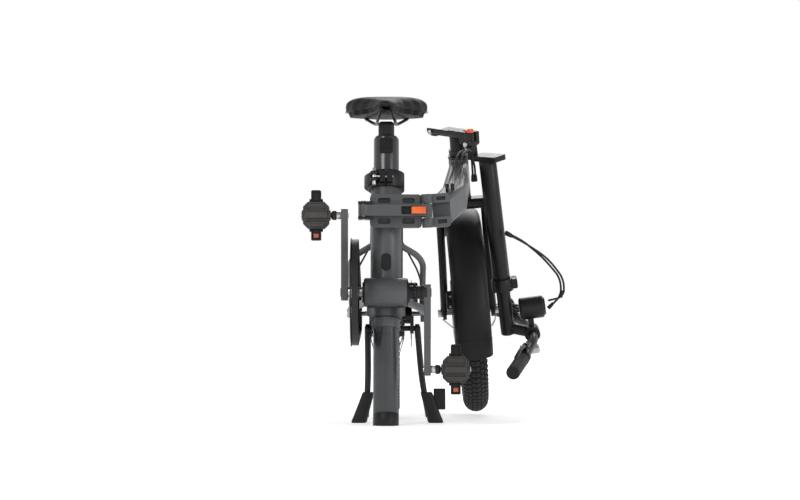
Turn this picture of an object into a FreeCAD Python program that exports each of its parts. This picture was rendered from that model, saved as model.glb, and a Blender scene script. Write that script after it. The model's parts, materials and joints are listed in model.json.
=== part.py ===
import FreeCAD, Part
import math
import os

Vector = FreeCAD.Vector

# Folding bicycle, millimetres, +Z up, standing folded on its seatpost end cap.
# The rear half points forward along -Y and its left side is +X.
# Origin: centre of the end cap's flat bottom, on the floor.

SEAT_LEAN = 15.0            # seat tube leans back, degrees from vertical
SEATPOST_R = 28.5
SEAT_TUBE_R = 35.0
SEAT_TUBE_LOW = 240.0       # along the leaning axis
SEAT_TUBE_HIGH = 578.0
SEATPOST_TOP = 672.0
END_CAP_H = 16.0
FIT = 0.08                  # radial clearance of running fits
GAP = 0.4                   # clearance between other moving faces

BB_Y, BB_Z = 20.0, 293.0
BB_HALF_W = 46.0
CRANK_LENGTH = 170.0
RING_X = -67.0              # belt line
RING_R = 113.0
REAR_RING_R = 37.0
BELT_W = 14.0
BELT_T = 4.0

WHEEL_R = 250.0
TYRE_R = 31.0
RIM_R = 203.0
AXLE_R = 6.0
REAR_AXLE_Y = 448.0
WHEELBASE = 1010.0
FRONT_AXLE_Y = REAR_AXLE_Y - WHEELBASE
REAR_DROP_X = 84.0
FRONT_DROP_X = 60.0

HINGE_X, HINGE_Y, HINGE_Z = 92.0, 58.0, 475.0
HINGE_TILT = -2.3           # pin leans sideways, so the folded wheels spread at the floor
LUG_LOW, LUG_HIGH = 438.0, 512.0
LUG_MID_LOW, LUG_MID_HIGH = 460.0, 491.0
KNUCKLE_R = 13.0

HEAD_ANGLE = 18.0           # steering axis, degrees back from vertical
FORK_LENGTH = 300.0
FORK_RAKE = 35.0
HEAD_LENGTH = 108.0
STEM_HINGE_D = 46.0         # post hinge pin from the steering axis
STEM_HINGE_DROP = 27.0      # and below the joint's face
POST_FOLD = -176.0
POST_R = 21.0
POST_LENGTH = 336.0
INNER_POST_R = 17.0
BAR_HEIGHT = 449.0          # bar clamp above the stem hinge plane
STEM_REACH = 52.0

BAR_R = 11.0
GRIP_R = 16.5
CABLE_R = 2.5

BACK = Vector(0, math.sin(math.radians(HEAD_ANGLE)), math.cos(math.radians(HEAD_ANGLE)))
AHEAD = Vector(0, -math.cos(math.radians(HEAD_ANGLE)), math.sin(math.radians(HEAD_ANGLE)))
FRONT_AXLE = Vector(0, FRONT_AXLE_Y, WHEEL_R)
CROWN = FRONT_AXLE + BACK * FORK_LENGTH - AHEAD * FORK_RAKE
HEAD_TOP = CROWN + BACK * HEAD_LENGTH
STEM_PLANE = HEAD_TOP + BACK * 62.0
REAR_AXLE = Vector(0, REAR_AXLE_Y, WHEEL_R)
LATCH_PIVOT = Vector(-50, HINGE_Y - 18, (LUG_MID_LOW + LUG_MID_HIGH) / 2)
HINGE = Vector(HINGE_X, HINGE_Y, HINGE_Z)
HINGE_AXIS = Vector(math.sin(math.radians(HINGE_TILT)), 0, math.cos(math.radians(HINGE_TILT)))
# the post hinge pin lies across the right rear of the steering axis
SIDE = Vector(1, 0, 0)
STEM_AXIS = (SIDE - AHEAD).normalize()
STEM_HINGE = STEM_PLANE + (SIDE * -1 - AHEAD).normalize() * STEM_HINGE_D - BACK * STEM_HINGE_DROP

NODES = {}


def keep(name, shape):
    NODES[name] = shape
    return shape


def box(x0, x1, y0, y1, z0, z1):
    return Part.makeBox(x1 - x0, y1 - y0, z1 - z0, Vector(x0, y0, z0))


def rod(start, end, radius):
    line = end - start
    return Part.makeCylinder(radius, line.Length, start, line)


def disc(centre, axis, radius, width):
    axis = Vector(axis).normalize()
    return Part.makeCylinder(radius, width, centre - axis * (width / 2), axis)


def ring(centre, axis, outer, inner, width):
    return disc(centre, axis, outer, width).cut(disc(centre, axis, inner, width + 2))


def soft_box(x0, x1, y0, y1, z0, z1, radius, direction=None):
    """A box with rounded edges: all of them, or those along one axis."""
    shape = box(x0, x1, y0, y1, z0, z1)
    edges = shape.Edges
    if direction is not None:
        edges = [e for e in edges if abs(e.tangentAt(e.FirstParameter).dot(direction)) > 0.9]
    return shape.makeFillet(radius, edges)


def rounded_path(points):
    """Straight runs joined by arcs tangent to both runs. Returns the wire and the arcs' radii."""
    edges = []
    radii = []
    start = points[0]
    for before, corner, after in zip(points, points[1:], points[2:]):
        into = (corner - before).normalize()
        out = (after - corner).normalize()
        turn = into.getAngle(out)
        if turn < 1e-3:
            continue
        trim = 0.45 * min((corner - before).Length, (after - corner).Length)
        radius = trim / math.tan(turn / 2)
        radii.append(round(radius, 1))
        begin = corner - into * trim
        end = corner + out * trim
        inward = (out - into).normalize()
        middle = corner + inward * (radius / math.cos(turn / 2) - radius)
        edges.append(Part.LineSegment(start, begin).toShape())
        edges.append(Part.Arc(begin, middle, end).toShape())
        start = end
    edges.append(Part.LineSegment(start, points[-1]).toShape())
    return Part.Wire(edges), radii


def pipe(points, radius, inner=0.0):
    path, radii = rounded_path(points)
    axis = points[1] - points[0]
    shape = None
    for size in (radius, inner):
        if size <= 0:
            continue
        section = Part.Wire([Part.makeCircle(size, points[0], axis)])
        solid = path.makePipeShell([section], True, False)
        shape = solid if shape is None else shape.cut(solid)
    expected = path.Length * math.pi * (radius ** 2 - inner ** 2)
    if abs(shape.Volume / expected - 1) > 0.03:
        print("pipe volume differs", shape.Volume, expected)
    if radius <= CABLE_R:
        print("thin bar or cord: length", round(path.Length, 1), "bend radii", radii)
    return shape


def lean(shape):
    """From a frame whose +Z is the seat tube's axis to the bicycle's frame."""
    shape = shape.copy()
    shape.rotate(Vector(0, 0, 0), Vector(1, 0, 0), -SEAT_LEAN)
    return shape


def on_seat_axis(distance, x=0.0, ahead=0.0):
    angle = math.radians(SEAT_LEAN)
    y = distance * math.sin(angle) - ahead * math.cos(angle)
    z = distance * math.cos(angle) + ahead * math.sin(angle)
    return Vector(x, y, z)


def steer(shape, origin):
    """From a frame whose +Z is the steering axis to the unfolded bicycle's frame."""
    shape = shape.copy()
    shape.rotate(Vector(0, 0, 0), Vector(1, 0, 0), -HEAD_ANGLE)
    shape.translate(origin)
    return shape


def fold_post(shape):
    shape = shape.copy()
    shape.rotate(STEM_HINGE, STEM_AXIS, POST_FOLD)
    return shape


def fold_front(shape):
    shape = shape.copy()
    shape.rotate(HINGE, HINGE_AXIS, 180)
    return shape


def make_wheel(prefix, axle, hub_r, hub_w, disc_x):
    across = Vector(1, 0, 0)
    tyre = Part.makeTorus(WHEEL_R - TYRE_R, TYRE_R, axle, across)
    tyre = tyre.cut(disc(axle, across, RIM_R, 60))
    rim = ring(axle, across, RIM_R, RIM_R - 15, 27)
    inner_edges = [e for e in rim.Edges if e.Length > 1000 and e.BoundBox.YLength < 2 * RIM_R - 20]
    rim = rim.makeFillet(2.5, inner_edges)
    hub = disc(axle, across, hub_r, hub_w)
    hub = hub.makeFillet(3, hub.Edges[:1])
    flange_r = hub_r + 8
    for side in (-1, 1):
        flange = disc(axle + across * side * (hub_w / 2 - 3), across, flange_r, 4)
        hub = hub.fuse(flange)
    boss = rod(axle, axle + across * (disc_x - 1), 24)
    hub = hub.fuse(boss).cut(disc(axle, across, AXLE_R + FIT, 200))
    rotor = ring(axle + across * disc_x, across, 80, 24, 2)
    for step in range(12):
        angle = math.radians(30 * step)
        hole_at = axle + across * disc_x + Vector(0, math.cos(angle) * 52, math.sin(angle) * 52)
        rotor = rotor.cut(disc(hole_at, across, 9, 6))
    spokes = []
    count = 20
    for step in range(count):
        angle = math.radians(360 / count * step)
        side = 1 if step % 2 else -1
        out = Vector(0, math.cos(angle), math.sin(angle))
        start = axle + across * side * (hub_w / 2 - 3) + out * flange_r
        end = axle + across * side * 4 + out * (RIM_R - 15)
        spokes.append(rod(start, end, 1.4).cut(rim).cut(hub))
    return {
        prefix + "_tyre": tyre,
        prefix + "_rim": rim,
        prefix + "_hub": hub,
        prefix + "_brake_disc": rotor,
        prefix + "_spokes": Part.makeCompound(spokes),
    }


def make_mudguard(axle, start_deg, end_deg, half_w=31.0, inner=257.0, skin=2.0):
    """A curved channel round the tyre. Angles turn from +Y towards +Z."""
    outer = ring(axle, SIDE, inner + skin, inner, 2 * half_w)
    for side in (-1, 1):
        lip = ring(axle + SIDE * side * (half_w - skin / 2), SIDE, inner + skin, inner - 9, skin)
        outer = outer.fuse(lip)
    wedge = Part.makeCylinder(inner + 40, 200, Vector(-100, 0, 0), SIDE, end_deg - start_deg)
    wedge.rotate(Vector(0, 0, 0), SIDE, start_deg + wedge_zero())
    wedge.translate(axle)
    return outer.common(wedge)


def wedge_zero():
    """Where a partial cylinder along +X starts, as an angle from +Y towards +Z."""
    probe = Part.makeCylinder(10, 1, Vector(0, 0, 0), SIDE, 2)
    centre = probe.CenterOfMass
    return -math.degrees(math.atan2(centre.z, centre.y)) + 1


def make_caliper(disc_centre, away):
    """A brake caliper straddling the disc's rim."""
    seat = disc_centre + away * 74
    body = soft_box(-15, 15, -18, 18, -24, 24, 4)
    body = body.cut(box(-2.2, 2.2, -20, 12, -30, 30))
    angle = math.degrees(math.atan2(away.z, away.y))
    body.rotate(Vector(0, 0, 0), SIDE, angle)
    body.translate(seat)
    return body.cut(ring(disc_centre, SIDE, 81.5, 1, 5))


def make_rear_frame():
    along = Vector(0, 0, 1)
    tube = Part.makeCylinder(SEAT_TUBE_R, SEAT_TUBE_HIGH - SEAT_TUBE_LOW, Vector(0, 0, SEAT_TUBE_LOW))
    bore = Part.makeCylinder(SEATPOST_R + FIT, SEAT_TUBE_HIGH, Vector(0, 0, 100))
    sleeve = Part.makeCylinder(SEAT_TUBE_R - 3, 22, Vector(0, 0, SEAT_TUBE_LOW - 22))
    slot = box(-2, 2, -SEAT_TUBE_R - 2, 0, SEAT_TUBE_HIGH - 38, SEAT_TUBE_HIGH + 2)
    shell = disc(Vector(0, BB_Y, BB_Z), SIDE, 32, 2 * BB_HALF_W)
    shell = shell.fuse(soft_box(-BB_HALF_W, BB_HALF_W, BB_Y - 10, BB_Y + 50, BB_Z - 28, BB_Z + 28, 10, SIDE))
    shell = shell.cut(disc(Vector(0, BB_Y, BB_Z), SIDE, 21, 3 * BB_HALF_W))
    for side in (-1, 1):
        foot = rod(Vector(side * 33, BB_Y + 6, BB_Z - 46), Vector(side * 33, BB_Y + 6, BB_Z - 24), 9)
        shell = shell.fuse(foot)
    lug = soft_box(-36, HINGE_X - 12, HINGE_Y + 1, HINGE_Y + 38, LUG_LOW, LUG_HIGH, 9, Vector(0, 1, 0))
    web = soft_box(-30, 44, HINGE_Y + 20, HINGE_Y + 66, LUG_LOW + 8, LUG_HIGH - 8, 8, Vector(0, 1, 0))
    tube = lean(tube.fuse(sleeve)).fuse(shell).fuse(lug).fuse(web)
    tube = tube.cut(lean(bore)).cut(lean(slot))
    low, high = LUG_MID_LOW + 0.7, LUG_MID_HIGH - 0.7
    knuckle = hinge_rod(KNUCKLE_R - 2, low, high)
    knuckle = knuckle.fuse(box(HINGE_X - 30, HINGE_X, HINGE_Y + 1, HINGE_Y + 10, low, high))
    tube = tube.fuse(knuckle)
    for low, high in ((LUG_LOW + 8, LUG_MID_LOW - 1), (LUG_MID_HIGH + 1, LUG_HIGH - 8)):
        for x in (-4, 50):
            pocket = soft_box(x - 14, x + 14, HINGE_Y - 4, HINGE_Y + 18, low, high, 5, Vector(0, 1, 0))
            tube = tube.cut(pocket)
    tube = tube.cut(hinge_rod(6 + FIT, 380, 560))
    tube = tube.cut(front_knuckle_room())
    keep("rear_frame_tube", tube)
    plug = soft_box(-11, 11, -SEAT_TUBE_R - 3, -SEAT_TUBE_R + 8, 346, 384, 9, Vector(0, 1, 0))
    plug = lean(plug.cut(Part.makeCylinder(SEAT_TUBE_R, 800, Vector(0, 0, 0), along)))
    keep("seat_tube_port_plug", plug.cut(NODES["rear_frame_tube"]))
    keep("main_hinge_pin", hinge_rod(6, LUG_LOW + 2, LUG_HIGH - 2))
    for side, name in ((-1, "drive"), (1, "left")):
        end = REAR_AXLE + SIDE * side * REAR_DROP_X
        stay = pipe([Vector(side * 40, BB_Y + 46, BB_Z - 8), Vector(side * 45, BB_Y + 130, BB_Z - 18),
                     Vector(side * REAR_DROP_X, REAR_AXLE_Y - 110, WHEEL_R + 10),
                     end + Vector(0, -26, 2)], 9)
        keep("chainstay_" + name, stay.cut(NODES["rear_frame_tube"]))
        seat_end = on_seat_axis(425, side * 26, -24)
        upper = pipe([seat_end, Vector(side * 84, 215, 374), end + Vector(0, -14, 22)], 7)
        keep("seatstay_" + name, upper.cut(NODES["rear_frame_tube"]))
        plate = soft_box(end.x - 4, end.x + 4, REAR_AXLE_Y - 36, REAR_AXLE_Y + 18,
                         WHEEL_R - 20, WHEEL_R + 32, 8, SIDE)
        plate = plate.cut(disc(end, SIDE, AXLE_R, 30))
        plate = plate.cut(NODES["chainstay_" + name]).cut(NODES["seatstay_" + name])
        keep("dropout_" + name, plate)
    axle = disc(REAR_AXLE, SIDE, AXLE_R, 2 * REAR_DROP_X + 24)
    for side in (-1, 1):
        axle = axle.fuse(disc(REAR_AXLE + SIDE * side * (REAR_DROP_X + 8), SIDE, 10, 8))
    keep("rear_axle", axle)
    guard = make_mudguard(REAR_AXLE, -12, 140, 38)
    keep("rear_mudguard", guard)
    arms = []
    for side in (-1, 1):
        arms.append(pipe([REAR_AXLE + Vector(side * (REAR_DROP_X - 1), 20, 26),
                          REAR_AXLE + Vector(side * (REAR_DROP_X - 2), 90, 90),
                          REAR_AXLE + Vector(side * 33.5, 176, 184)], 2.2))
    keep("rear_mudguard_stays", Part.makeCompound(arms))
    bridge = box(-31, 31, REAR_AXLE_Y - 262, REAR_AXLE_Y - 258, WHEEL_R + 8, WHEEL_R + 40)
    keep("rear_mudguard_bracket", bridge)
    caliper = make_caliper(REAR_AXLE + SIDE * 58, Vector(0, -0.8, 0.6))
    keep("rear_brake_caliper", caliper.cut(NODES["seatstay_left"]).cut(NODES["chainstay_left"]))
    cups = []
    for side in (-1, 1):
        cup = ring(Vector(side * (BB_HALF_W + 3), BB_Y, BB_Z), SIDE, 23, 12 + FIT, 6)
        cup = cup.fuse(ring(Vector(side * (BB_HALF_W - 10), BB_Y, BB_Z), SIDE, 21, 12 + FIT, 20))
        cups.append(cup)
    keep("bottom_bracket_cups", Part.makeCompound(cups))
    keep("drive_belt", make_belt())


def hinge_rod(radius, low, high):
    """A cylinder on the main hinge's leaning pin line."""
    start = HINGE + HINGE_AXIS * (low - HINGE_Z)
    end = HINGE + HINGE_AXIS * (high - HINGE_Z)
    return rod(start, end, radius)


def front_knuckle_room():
    """Free space that the front half's knuckles turn in."""
    room = hinge_rod(KNUCKLE_R + 2, LUG_LOW - 4, LUG_MID_LOW)
    return room.fuse(hinge_rod(KNUCKLE_R + 2, LUG_MID_HIGH, LUG_HIGH + 4))


def make_belt():
    front = Vector(RING_X, BB_Y, BB_Z)
    back = Vector(RING_X, REAR_AXLE_Y, WHEEL_R)

    def loop(extra, width):
        low, high = RING_R + extra, REAR_RING_R + extra
        line = back - front
        reach = line.Length
        tilt = math.asin((low - high) / reach)
        heading = math.atan2(line.z, line.y)
        shape = disc(front, SIDE, low, width).fuse(disc(back, SIDE, high, width))
        corners = []
        for turn, radius, centre in ((1, low, front), (1, high, back), (-1, high, back), (-1, low, front)):
            angle = heading + turn * (math.pi / 2 - tilt)
            corners.append(centre + Vector(-width / 2, math.cos(angle) * radius, math.sin(angle) * radius))
        face = Part.Face(Part.makePolygon(corners + corners[:1]))
        return shape.fuse(face.extrude(Vector(width, 0, 0)))

    return loop(BELT_T + GAP, BELT_W).cut(loop(GAP, BELT_W + 4)).removeSplitter()


def make_seat():
    post = Part.makeCylinder(SEATPOST_R, SEATPOST_TOP - END_CAP_H - 8, Vector(0, 0, END_CAP_H + 8))
    post = post.makeFillet(9, [e for e in post.Edges if e.CenterOfMass.z > SEATPOST_TOP - 1])
    keep("seatpost", lean(post))
    cap = lean(Part.makeCylinder(SEATPOST_R, END_CAP_H + 48, Vector(0, 0, -40)))
    cap = cap.common(box(-60, 60, -60, 60, 0, 80))
    keep("seatpost_end_cap", cap.cut(lean(Part.makeCylinder(60, 200, Vector(0, 0, END_CAP_H + 8)))))
    panel = soft_box(-15, 15, -SEATPOST_R - 1.5, -SEATPOST_R + 8, SEATPOST_TOP - 48, SEATPOST_TOP - 12,
                     5, Vector(0, 1, 0))
    port = rod(Vector(0, -SEATPOST_R - 3.5, SEATPOST_TOP - 30), Vector(0, -10, SEATPOST_TOP - 30), 8)
    keep("battery_port_panel", lean(panel.cut(port)).cut(NODES["seatpost"]))
    keep("battery_port_cap", lean(port).cut(NODES["seatpost"]))
    screws = []
    for x in (-11, 11):
        for step in (-40, -20):
            screws.append(rod(Vector(x, -SEATPOST_R - 2.6, SEATPOST_TOP + step),
                              Vector(x, -SEATPOST_R - 1.5, SEATPOST_TOP + step), 2))
    keep("port_panel_screws", Part.makeCompound([lean(s) for s in screws]))
    top = on_seat_axis(SEATPOST_TOP)
    head = soft_box(-18, 18, top.y - 24, top.y + 24, top.z - 2, top.z + 34, 8)
    keep("saddle_clamp", head.cut(NODES["seatpost"]))
    rail_z = top.z + 29
    rails = []
    for side in (-1, 1):
        rails.append(pipe([Vector(side * 11, top.y - 108, rail_z + 22),
                           Vector(side * 20, top.y - 62, rail_z + 2),
                           Vector(side * 22, top.y + 40, rail_z + 1),
                           Vector(side * 48, top.y + 92, rail_z + 20)], 3.5))
    keep("saddle_rails", Part.makeCompound(rails).cut(NODES["saddle_clamp"]))
    keep("saddle_shell", make_saddle(top.y, rail_z + 19, 0.90, 13, 2).cut(NODES["saddle_rails"]))
    keep("saddle_cushion", make_saddle(top.y, rail_z + 32.4, 1.0, 32, 7))


def make_saddle(y, z, scale, height, edge):
    """A saddle plan, wide behind and narrow at the nose."""
    half = [(-138, 14), (-120, 21), (-60, 30), (0, 56), (50, 92), (88, 98), (112, 74), (122, 30)]
    points = [Vector(x * scale, y + step * scale, z) for step, x in half]
    points += [Vector(-x * scale, y + step * scale, z) for step, x in reversed(half)]
    curve = Part.BSplineCurve()
    curve.interpolate(points, PeriodicFlag=True)
    slab = Part.Face(Part.Wire(curve.toShape())).extrude(Vector(0, 0, height))
    return slab.makeFillet(edge, [e for e in slab.Edges if e.CenterOfMass.z > z + height - 1])


def make_seat_clamp():
    low, high = SEAT_TUBE_HIGH - 34, SEAT_TUBE_HIGH + 4
    band = ring(Vector(0, 0, (low + high) / 2), Vector(0, 0, 1), SEAT_TUBE_R + 6, SEAT_TUBE_R, high - low)
    band = band.fuse(soft_box(-14, 14, -SEAT_TUBE_R - 16, -SEAT_TUBE_R + 2, low + 4, high - 4, 4, SIDE))
    band = band.cut(box(-2, 2, -100, 0, low - 2, high + 2))
    band = band.cut(Part.makeCylinder(SEAT_TUBE_R, 800))
    bolt_y = -SEAT_TUBE_R - 8
    middle = (low + high) / 2
    bolt_line = rod(Vector(-30, bolt_y, middle), Vector(16, bolt_y, middle), 3.2)
    keep("seat_clamp_collar", lean(band.cut(bolt_line)))
    keep("seat_clamp_bolt", lean(bolt_line))
    eye = rod(Vector(-27, bolt_y, middle - 11), Vector(-27, bolt_y, middle + 11), 9)
    pin_line = rod(Vector(-27, bolt_y, middle - 20), Vector(-27, bolt_y, middle + 20), 4)
    keep("seat_clamp_cam_pin", lean(pin_line.cut(bolt_line)))
    arm = ring(Vector(0, 0, middle), Vector(0, 0, 1), SEAT_TUBE_R + 15, SEAT_TUBE_R + 7, 24)
    arm = arm.common(box(-60, -24, -52, 44, low - 10, high + 10))
    arm = arm.fuse(eye).cut(rod(Vector(-27, bolt_y, 0), Vector(-27, bolt_y, 900), 4 + FIT))
    relief = rod(Vector(-27, bolt_y, middle - 4), Vector(-27, bolt_y, middle + 4), 10.5)
    keep("seat_clamp_lever", lean(arm.cut(relief)))


def make_drivetrain():
    centre = Vector(0, BB_Y, BB_Z)
    spindle = disc(centre, SIDE, 12, 2 * 88)
    keep("crank_spindle", spindle)
    pulley = ring(Vector(RING_X, BB_Y, BB_Z), SIDE, RING_R, 88, BELT_W - 1)
    arms = None
    for step in range(5):
        spoke = box(RING_X - 3, RING_X + 3, -9, 9, 14, 92)
        spoke.rotate(Vector(0, 0, 0), SIDE, 72 * step + 36)
        spoke.translate(Vector(0, BB_Y, BB_Z))
        arms = spoke if arms is None else arms.fuse(spoke)
    pulley = pulley.fuse(arms).fuse(disc(Vector(RING_X, BB_Y, BB_Z), SIDE, 26, 8))
    keep("front_pulley", pulley.cut(disc(centre, SIDE, 12, 400)))
    guard = ring(Vector(RING_X - 9.5, BB_Y, BB_Z), SIDE, RING_R + 7, 84, 2.5)
    keep("pulley_guard", guard)
    for side, direction, name in ((-1, 1, "drive"), (1, -1, "left")):
        inner = side * 84
        outer = side * 99
        arm = box(min(inner, outer), max(inner, outer), -13, 13, -18, CRANK_LENGTH + 14)
        arm = arm.makeFillet(6, [e for e in arm.Edges if abs(e.tangentAt(0).x) > 0.9])
        if direction < 0:
            arm.rotate(Vector(0, 0, 0), SIDE, 180)
        arm.translate(Vector(0, BB_Y, BB_Z))
        arm = arm.cut(disc(centre, SIDE, 12, 400))
        pedal_z = BB_Z + direction * CRANK_LENGTH
        stub = rod(Vector(side * 82, BB_Y, pedal_z), Vector(side * 188, BB_Y, pedal_z), 5)
        collar = rod(Vector(side * 99, BB_Y, pedal_z), Vector(side * 116, BB_Y, pedal_z), 8.5)
        arm = arm.cut(stub)
        keep("crank_arm_" + name, arm)
        keep("pedal_spindle_" + name, stub.fuse(collar))
        make_pedal(name, side, pedal_z)
    back = Vector(RING_X, REAR_AXLE_Y, WHEEL_R)
    keep("rear_pulley", ring(back, SIDE, REAR_RING_R, AXLE_R + FIT, BELT_W - 1))


def make_pedal(name, side, pedal_z):
    near, far = side * 122, side * 186
    low, high = min(near, far), max(near, far)
    body = soft_box(low, high, BB_Y - 34, BB_Y + 34, pedal_z - 13, pedal_z + 13, 5, SIDE)
    body = body.fuse(soft_box(low + 8, high - 8, BB_Y - 20, BB_Y + 20, pedal_z - 30, pedal_z + 30, 8, SIDE))
    body = body.cut(disc(Vector(0, BB_Y, pedal_z), SIDE, 5 + FIT, 400))
    keep("pedal_body_" + name, body)
    clips = []
    lenses = []
    for turn in (-1, 1):
        z0 = pedal_z + turn * 30
        z1 = pedal_z + turn * 56
        clip = soft_box(low + 18, high - 18, BB_Y - 11, BB_Y + 11, min(z0, z1), max(z0, z1), 4, SIDE)
        y0 = BB_Y - 11
        lens = soft_box(low + 22, high - 22, y0 - 2.5, y0 - 0.0, (z0 + z1) / 2 - 7, (z0 + z1) / 2 + 7, 1)
        clips.append(clip)
        lenses.append(lens)
    keep("pedal_clips_" + name, Part.makeCompound(clips))
    keep("pedal_reflectors_" + name, Part.makeCompound(lenses))


def make_main_latch():
    z = (LUG_MID_LOW + LUG_MID_HIGH) / 2
    pivot = LATCH_PIVOT
    arm = soft_box(-60, 98, HINGE_Y - 25, HINGE_Y - 12.5, z - 12.5, z + 12.5, 10, Vector(0, 1, 0))
    pocket = soft_box(34, 72, HINGE_Y - 30, HINGE_Y - 13, z - 9, z + 9, 3, Vector(0, 1, 0))
    arm = arm.fuse(rod(pivot - Vector(0, 0, 12.5), pivot + Vector(0, 0, 12.5), 11))
    arm = arm.cut(pocket).cut(rod(pivot - Vector(0, 0, 40), pivot + Vector(0, 0, 40), 4 + FIT))
    keep("main_latch_lever", arm)
    catch = soft_box(56, 71, HINGE_Y - 24, HINGE_Y - 13.4, z - 8, z + 8, 2)
    keep("main_latch_safety_slider", catch)
    ears = None
    for side in (-1, 1):
        level = z + side * 17
        ear = box(-62, -30, HINGE_Y - 24, HINGE_Y + 30, level - 3, level + 3)
        ears = ear if ears is None else ears.fuse(ear)
    ears = ears.fuse(box(-62, -36, HINGE_Y + 6, HINGE_Y + 30, z - 20, z + 20))
    ears = ears.cut(NODES["rear_frame_tube"])
    pin = rod(pivot - Vector(0, 0, 22), pivot + Vector(0, 0, 22), 4)
    keep("main_latch_pin", pin)
    keep("main_latch_bracket", ears.cut(pin))


def section(centre, half_w, half_h, radius):
    """A rounded rectangle across Y."""
    flat = box(-half_w, half_w, 0, 1, -half_h, half_h)
    flat = flat.makeFillet(radius, [e for e in flat.Edges if abs(e.tangentAt(e.FirstParameter).y) > 0.9])
    face = [f for f in flat.Faces if f.BoundBox.YLength < 0.01 and abs(f.CenterOfMass.y) < 0.01][0]
    wire = face.OuterWire.copy()
    wire.translate(centre)
    return wire


def make_front_frame():
    z = (LUG_LOW + LUG_HIGH) / 2
    lug = soft_box(40, HINGE_X - 12, HINGE_Y - 44, HINGE_Y - 1, LUG_LOW, LUG_HIGH, 9, Vector(0, 1, 0))
    for low, high in ((LUG_LOW, LUG_MID_LOW - GAP), (LUG_MID_HIGH + GAP, LUG_HIGH)):
        lug = lug.fuse(hinge_rod(KNUCKLE_R, low, high))
        lug = lug.fuse(box(HINGE_X - 24, HINGE_X, HINGE_Y - 10, HINGE_Y - 1, low, high))
    groove = box(-70, 130, HINGE_Y - 32, HINGE_Y + 60, LUG_MID_LOW - GAP, LUG_MID_HIGH + GAP)
    lug = lug.cut(groove)
    for low, high in ((LUG_LOW + 7, LUG_MID_LOW - 6), (LUG_MID_HIGH + 6, LUG_HIGH - 7)):
        lug = lug.cut(box(50, 70, HINGE_Y - 16, HINGE_Y + 4, low, high))
    lug = lug.cut(hinge_rod(6 + FIT, 380, 560))
    keep("front_hinge_lug", lug)
    head_end = HEAD_TOP * 0.5 + CROWN * 0.5
    wires = [section(Vector(60, HINGE_Y - 44, z), 20, 34, 12),
             section(Vector(26, HINGE_Y - 150, z + 30), 27, 33, 14),
             section(Vector(0, head_end.y + 12, head_end.z + 2), 23, 37, 14)]
    head_room = steer(Part.makeCylinder(24, HEAD_LENGTH + 80, Vector(0, 0, -40)), CROWN)
    tube = Part.makeLoft(wires, True, True).cut(head_room)
    keep("front_main_tube", tube)
    head = Part.makeCylinder(24, HEAD_LENGTH - 12, Vector(0, 0, 6))
    head = head.cut(Part.makeCylinder(18.5, 300, Vector(0, 0, -50)))
    keep("head_tube", steer(head, CROWN))
    cups = []
    for z0 in (1, HEAD_LENGTH - 6):
        cup = Part.makeCylinder(25, 5, Vector(0, 0, z0))
        cup = cup.cut(Part.makeCylinder(14 + FIT, 300, Vector(0, 0, -50)))
        cups.append(steer(cup, CROWN))
    keep("headset_cups", Part.makeCompound(cups))
    guides = []
    cables = []
    tubes = [NODES["front_main_tube"], NODES["head_tube"], NODES["front_hinge_lug"]]
    for x, spread in ((30, 29), (42, 35)):
        top = HINGE_Y - 92
        guides.append(soft_box(x - 4, x + 4, top, top + 14, z + 46, z + 62, 2))
        route = [Vector(x, top + 12, z + 57), Vector(x - 6, top - 40, z + 69),
                 Vector(x - 20, top - 100, z + 98), Vector(x - 36, top - 165, z + 142),
                 Vector(x - 56, top - 222, z + 154),
                 Vector(-spread, top - 280, z + 126), Vector(-spread, top - 306, z + 84)]
        cables.append(pipe(route, CABLE_R))
    guides = [g.cut(tubes[0]).cut(c) for g, c in zip(guides, cables)]
    keep("frame_cable_guides", Part.makeCompound(guides))
    keep("frame_cables", Part.makeCompound(cables))


def make_fork():
    crown = soft_box(-66, 66, -24, 22, -25, 0, 10)
    steerer = Part.makeCylinder(14, HEAD_LENGTH + 30, Vector(0, 0, -10))
    fork = crown.fuse(steerer)
    for side in (-1, 1):
        blade = pipe([Vector(side * 55.5, 0, -14), Vector(side * 56.5, -1, -160),
                      Vector(side * FRONT_DROP_X, -FORK_RAKE + 2, -FORK_LENGTH + 6)], 9.5)
        fork = fork.fuse(blade)
        tip = disc(Vector(side * FRONT_DROP_X, -FORK_RAKE, -FORK_LENGTH), SIDE, 17, 9)
        fork = fork.fuse(tip)
    fork = fork.cut(disc(Vector(0, -FORK_RAKE, -FORK_LENGTH), SIDE, AXLE_R, 200))
    axle = disc(FRONT_AXLE, SIDE, AXLE_R, 2 * FRONT_DROP_X + 24)
    for side in (-1, 1):
        axle = axle.fuse(disc(FRONT_AXLE + SIDE * side * (FRONT_DROP_X + 10.5), SIDE, 10, 12))
    keep("front_axle", axle)
    fork = keep("fork", steer(fork, CROWN).cut(axle))
    keep("front_mudguard", make_mudguard(FRONT_AXLE, -17, 128, 44).cut(fork))
    flap = make_mudguard(FRONT_AXLE, -27, -17.5, 43, 256, 3)
    keep("front_mudguard_flap", flap)
    stays = []
    for side in (-1, 1):
        x = side * (FRONT_DROP_X + 6)
        stays.append(pipe([FRONT_AXLE + Vector(x, 16, -16), FRONT_AXLE + Vector(side * 58, 130, -26),
                           FRONT_AXLE + Vector(side * 46.5, 246, -40)], 2.0).cut(fork))
    keep("front_mudguard_stays", Part.makeCompound(stays))
    keep("front_mudguard_bolt", steer(Part.makeCylinder(5, 14, Vector(0, 0, -40)), CROWN).cut(fork).cut(
        NODES["front_mudguard"]))
    keep("front_brake_caliper", make_caliper(FRONT_AXLE + SIDE * 39.5, Vector(0, 0.94, 0.34)).cut(fork))
    spacer = Part.makeCylinder(22, 14, Vector(0, 0, HEAD_LENGTH + 1)).fuse(
        Part.makeCylinder(18, 34, Vector(0, 0, HEAD_LENGTH + 15)))
    spacer = spacer.cut(Part.makeCylinder(14, HEAD_LENGTH + 30, Vector(0, 0, 0)))
    keep("steerer_spacer", steer(spacer, CROWN))


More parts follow.
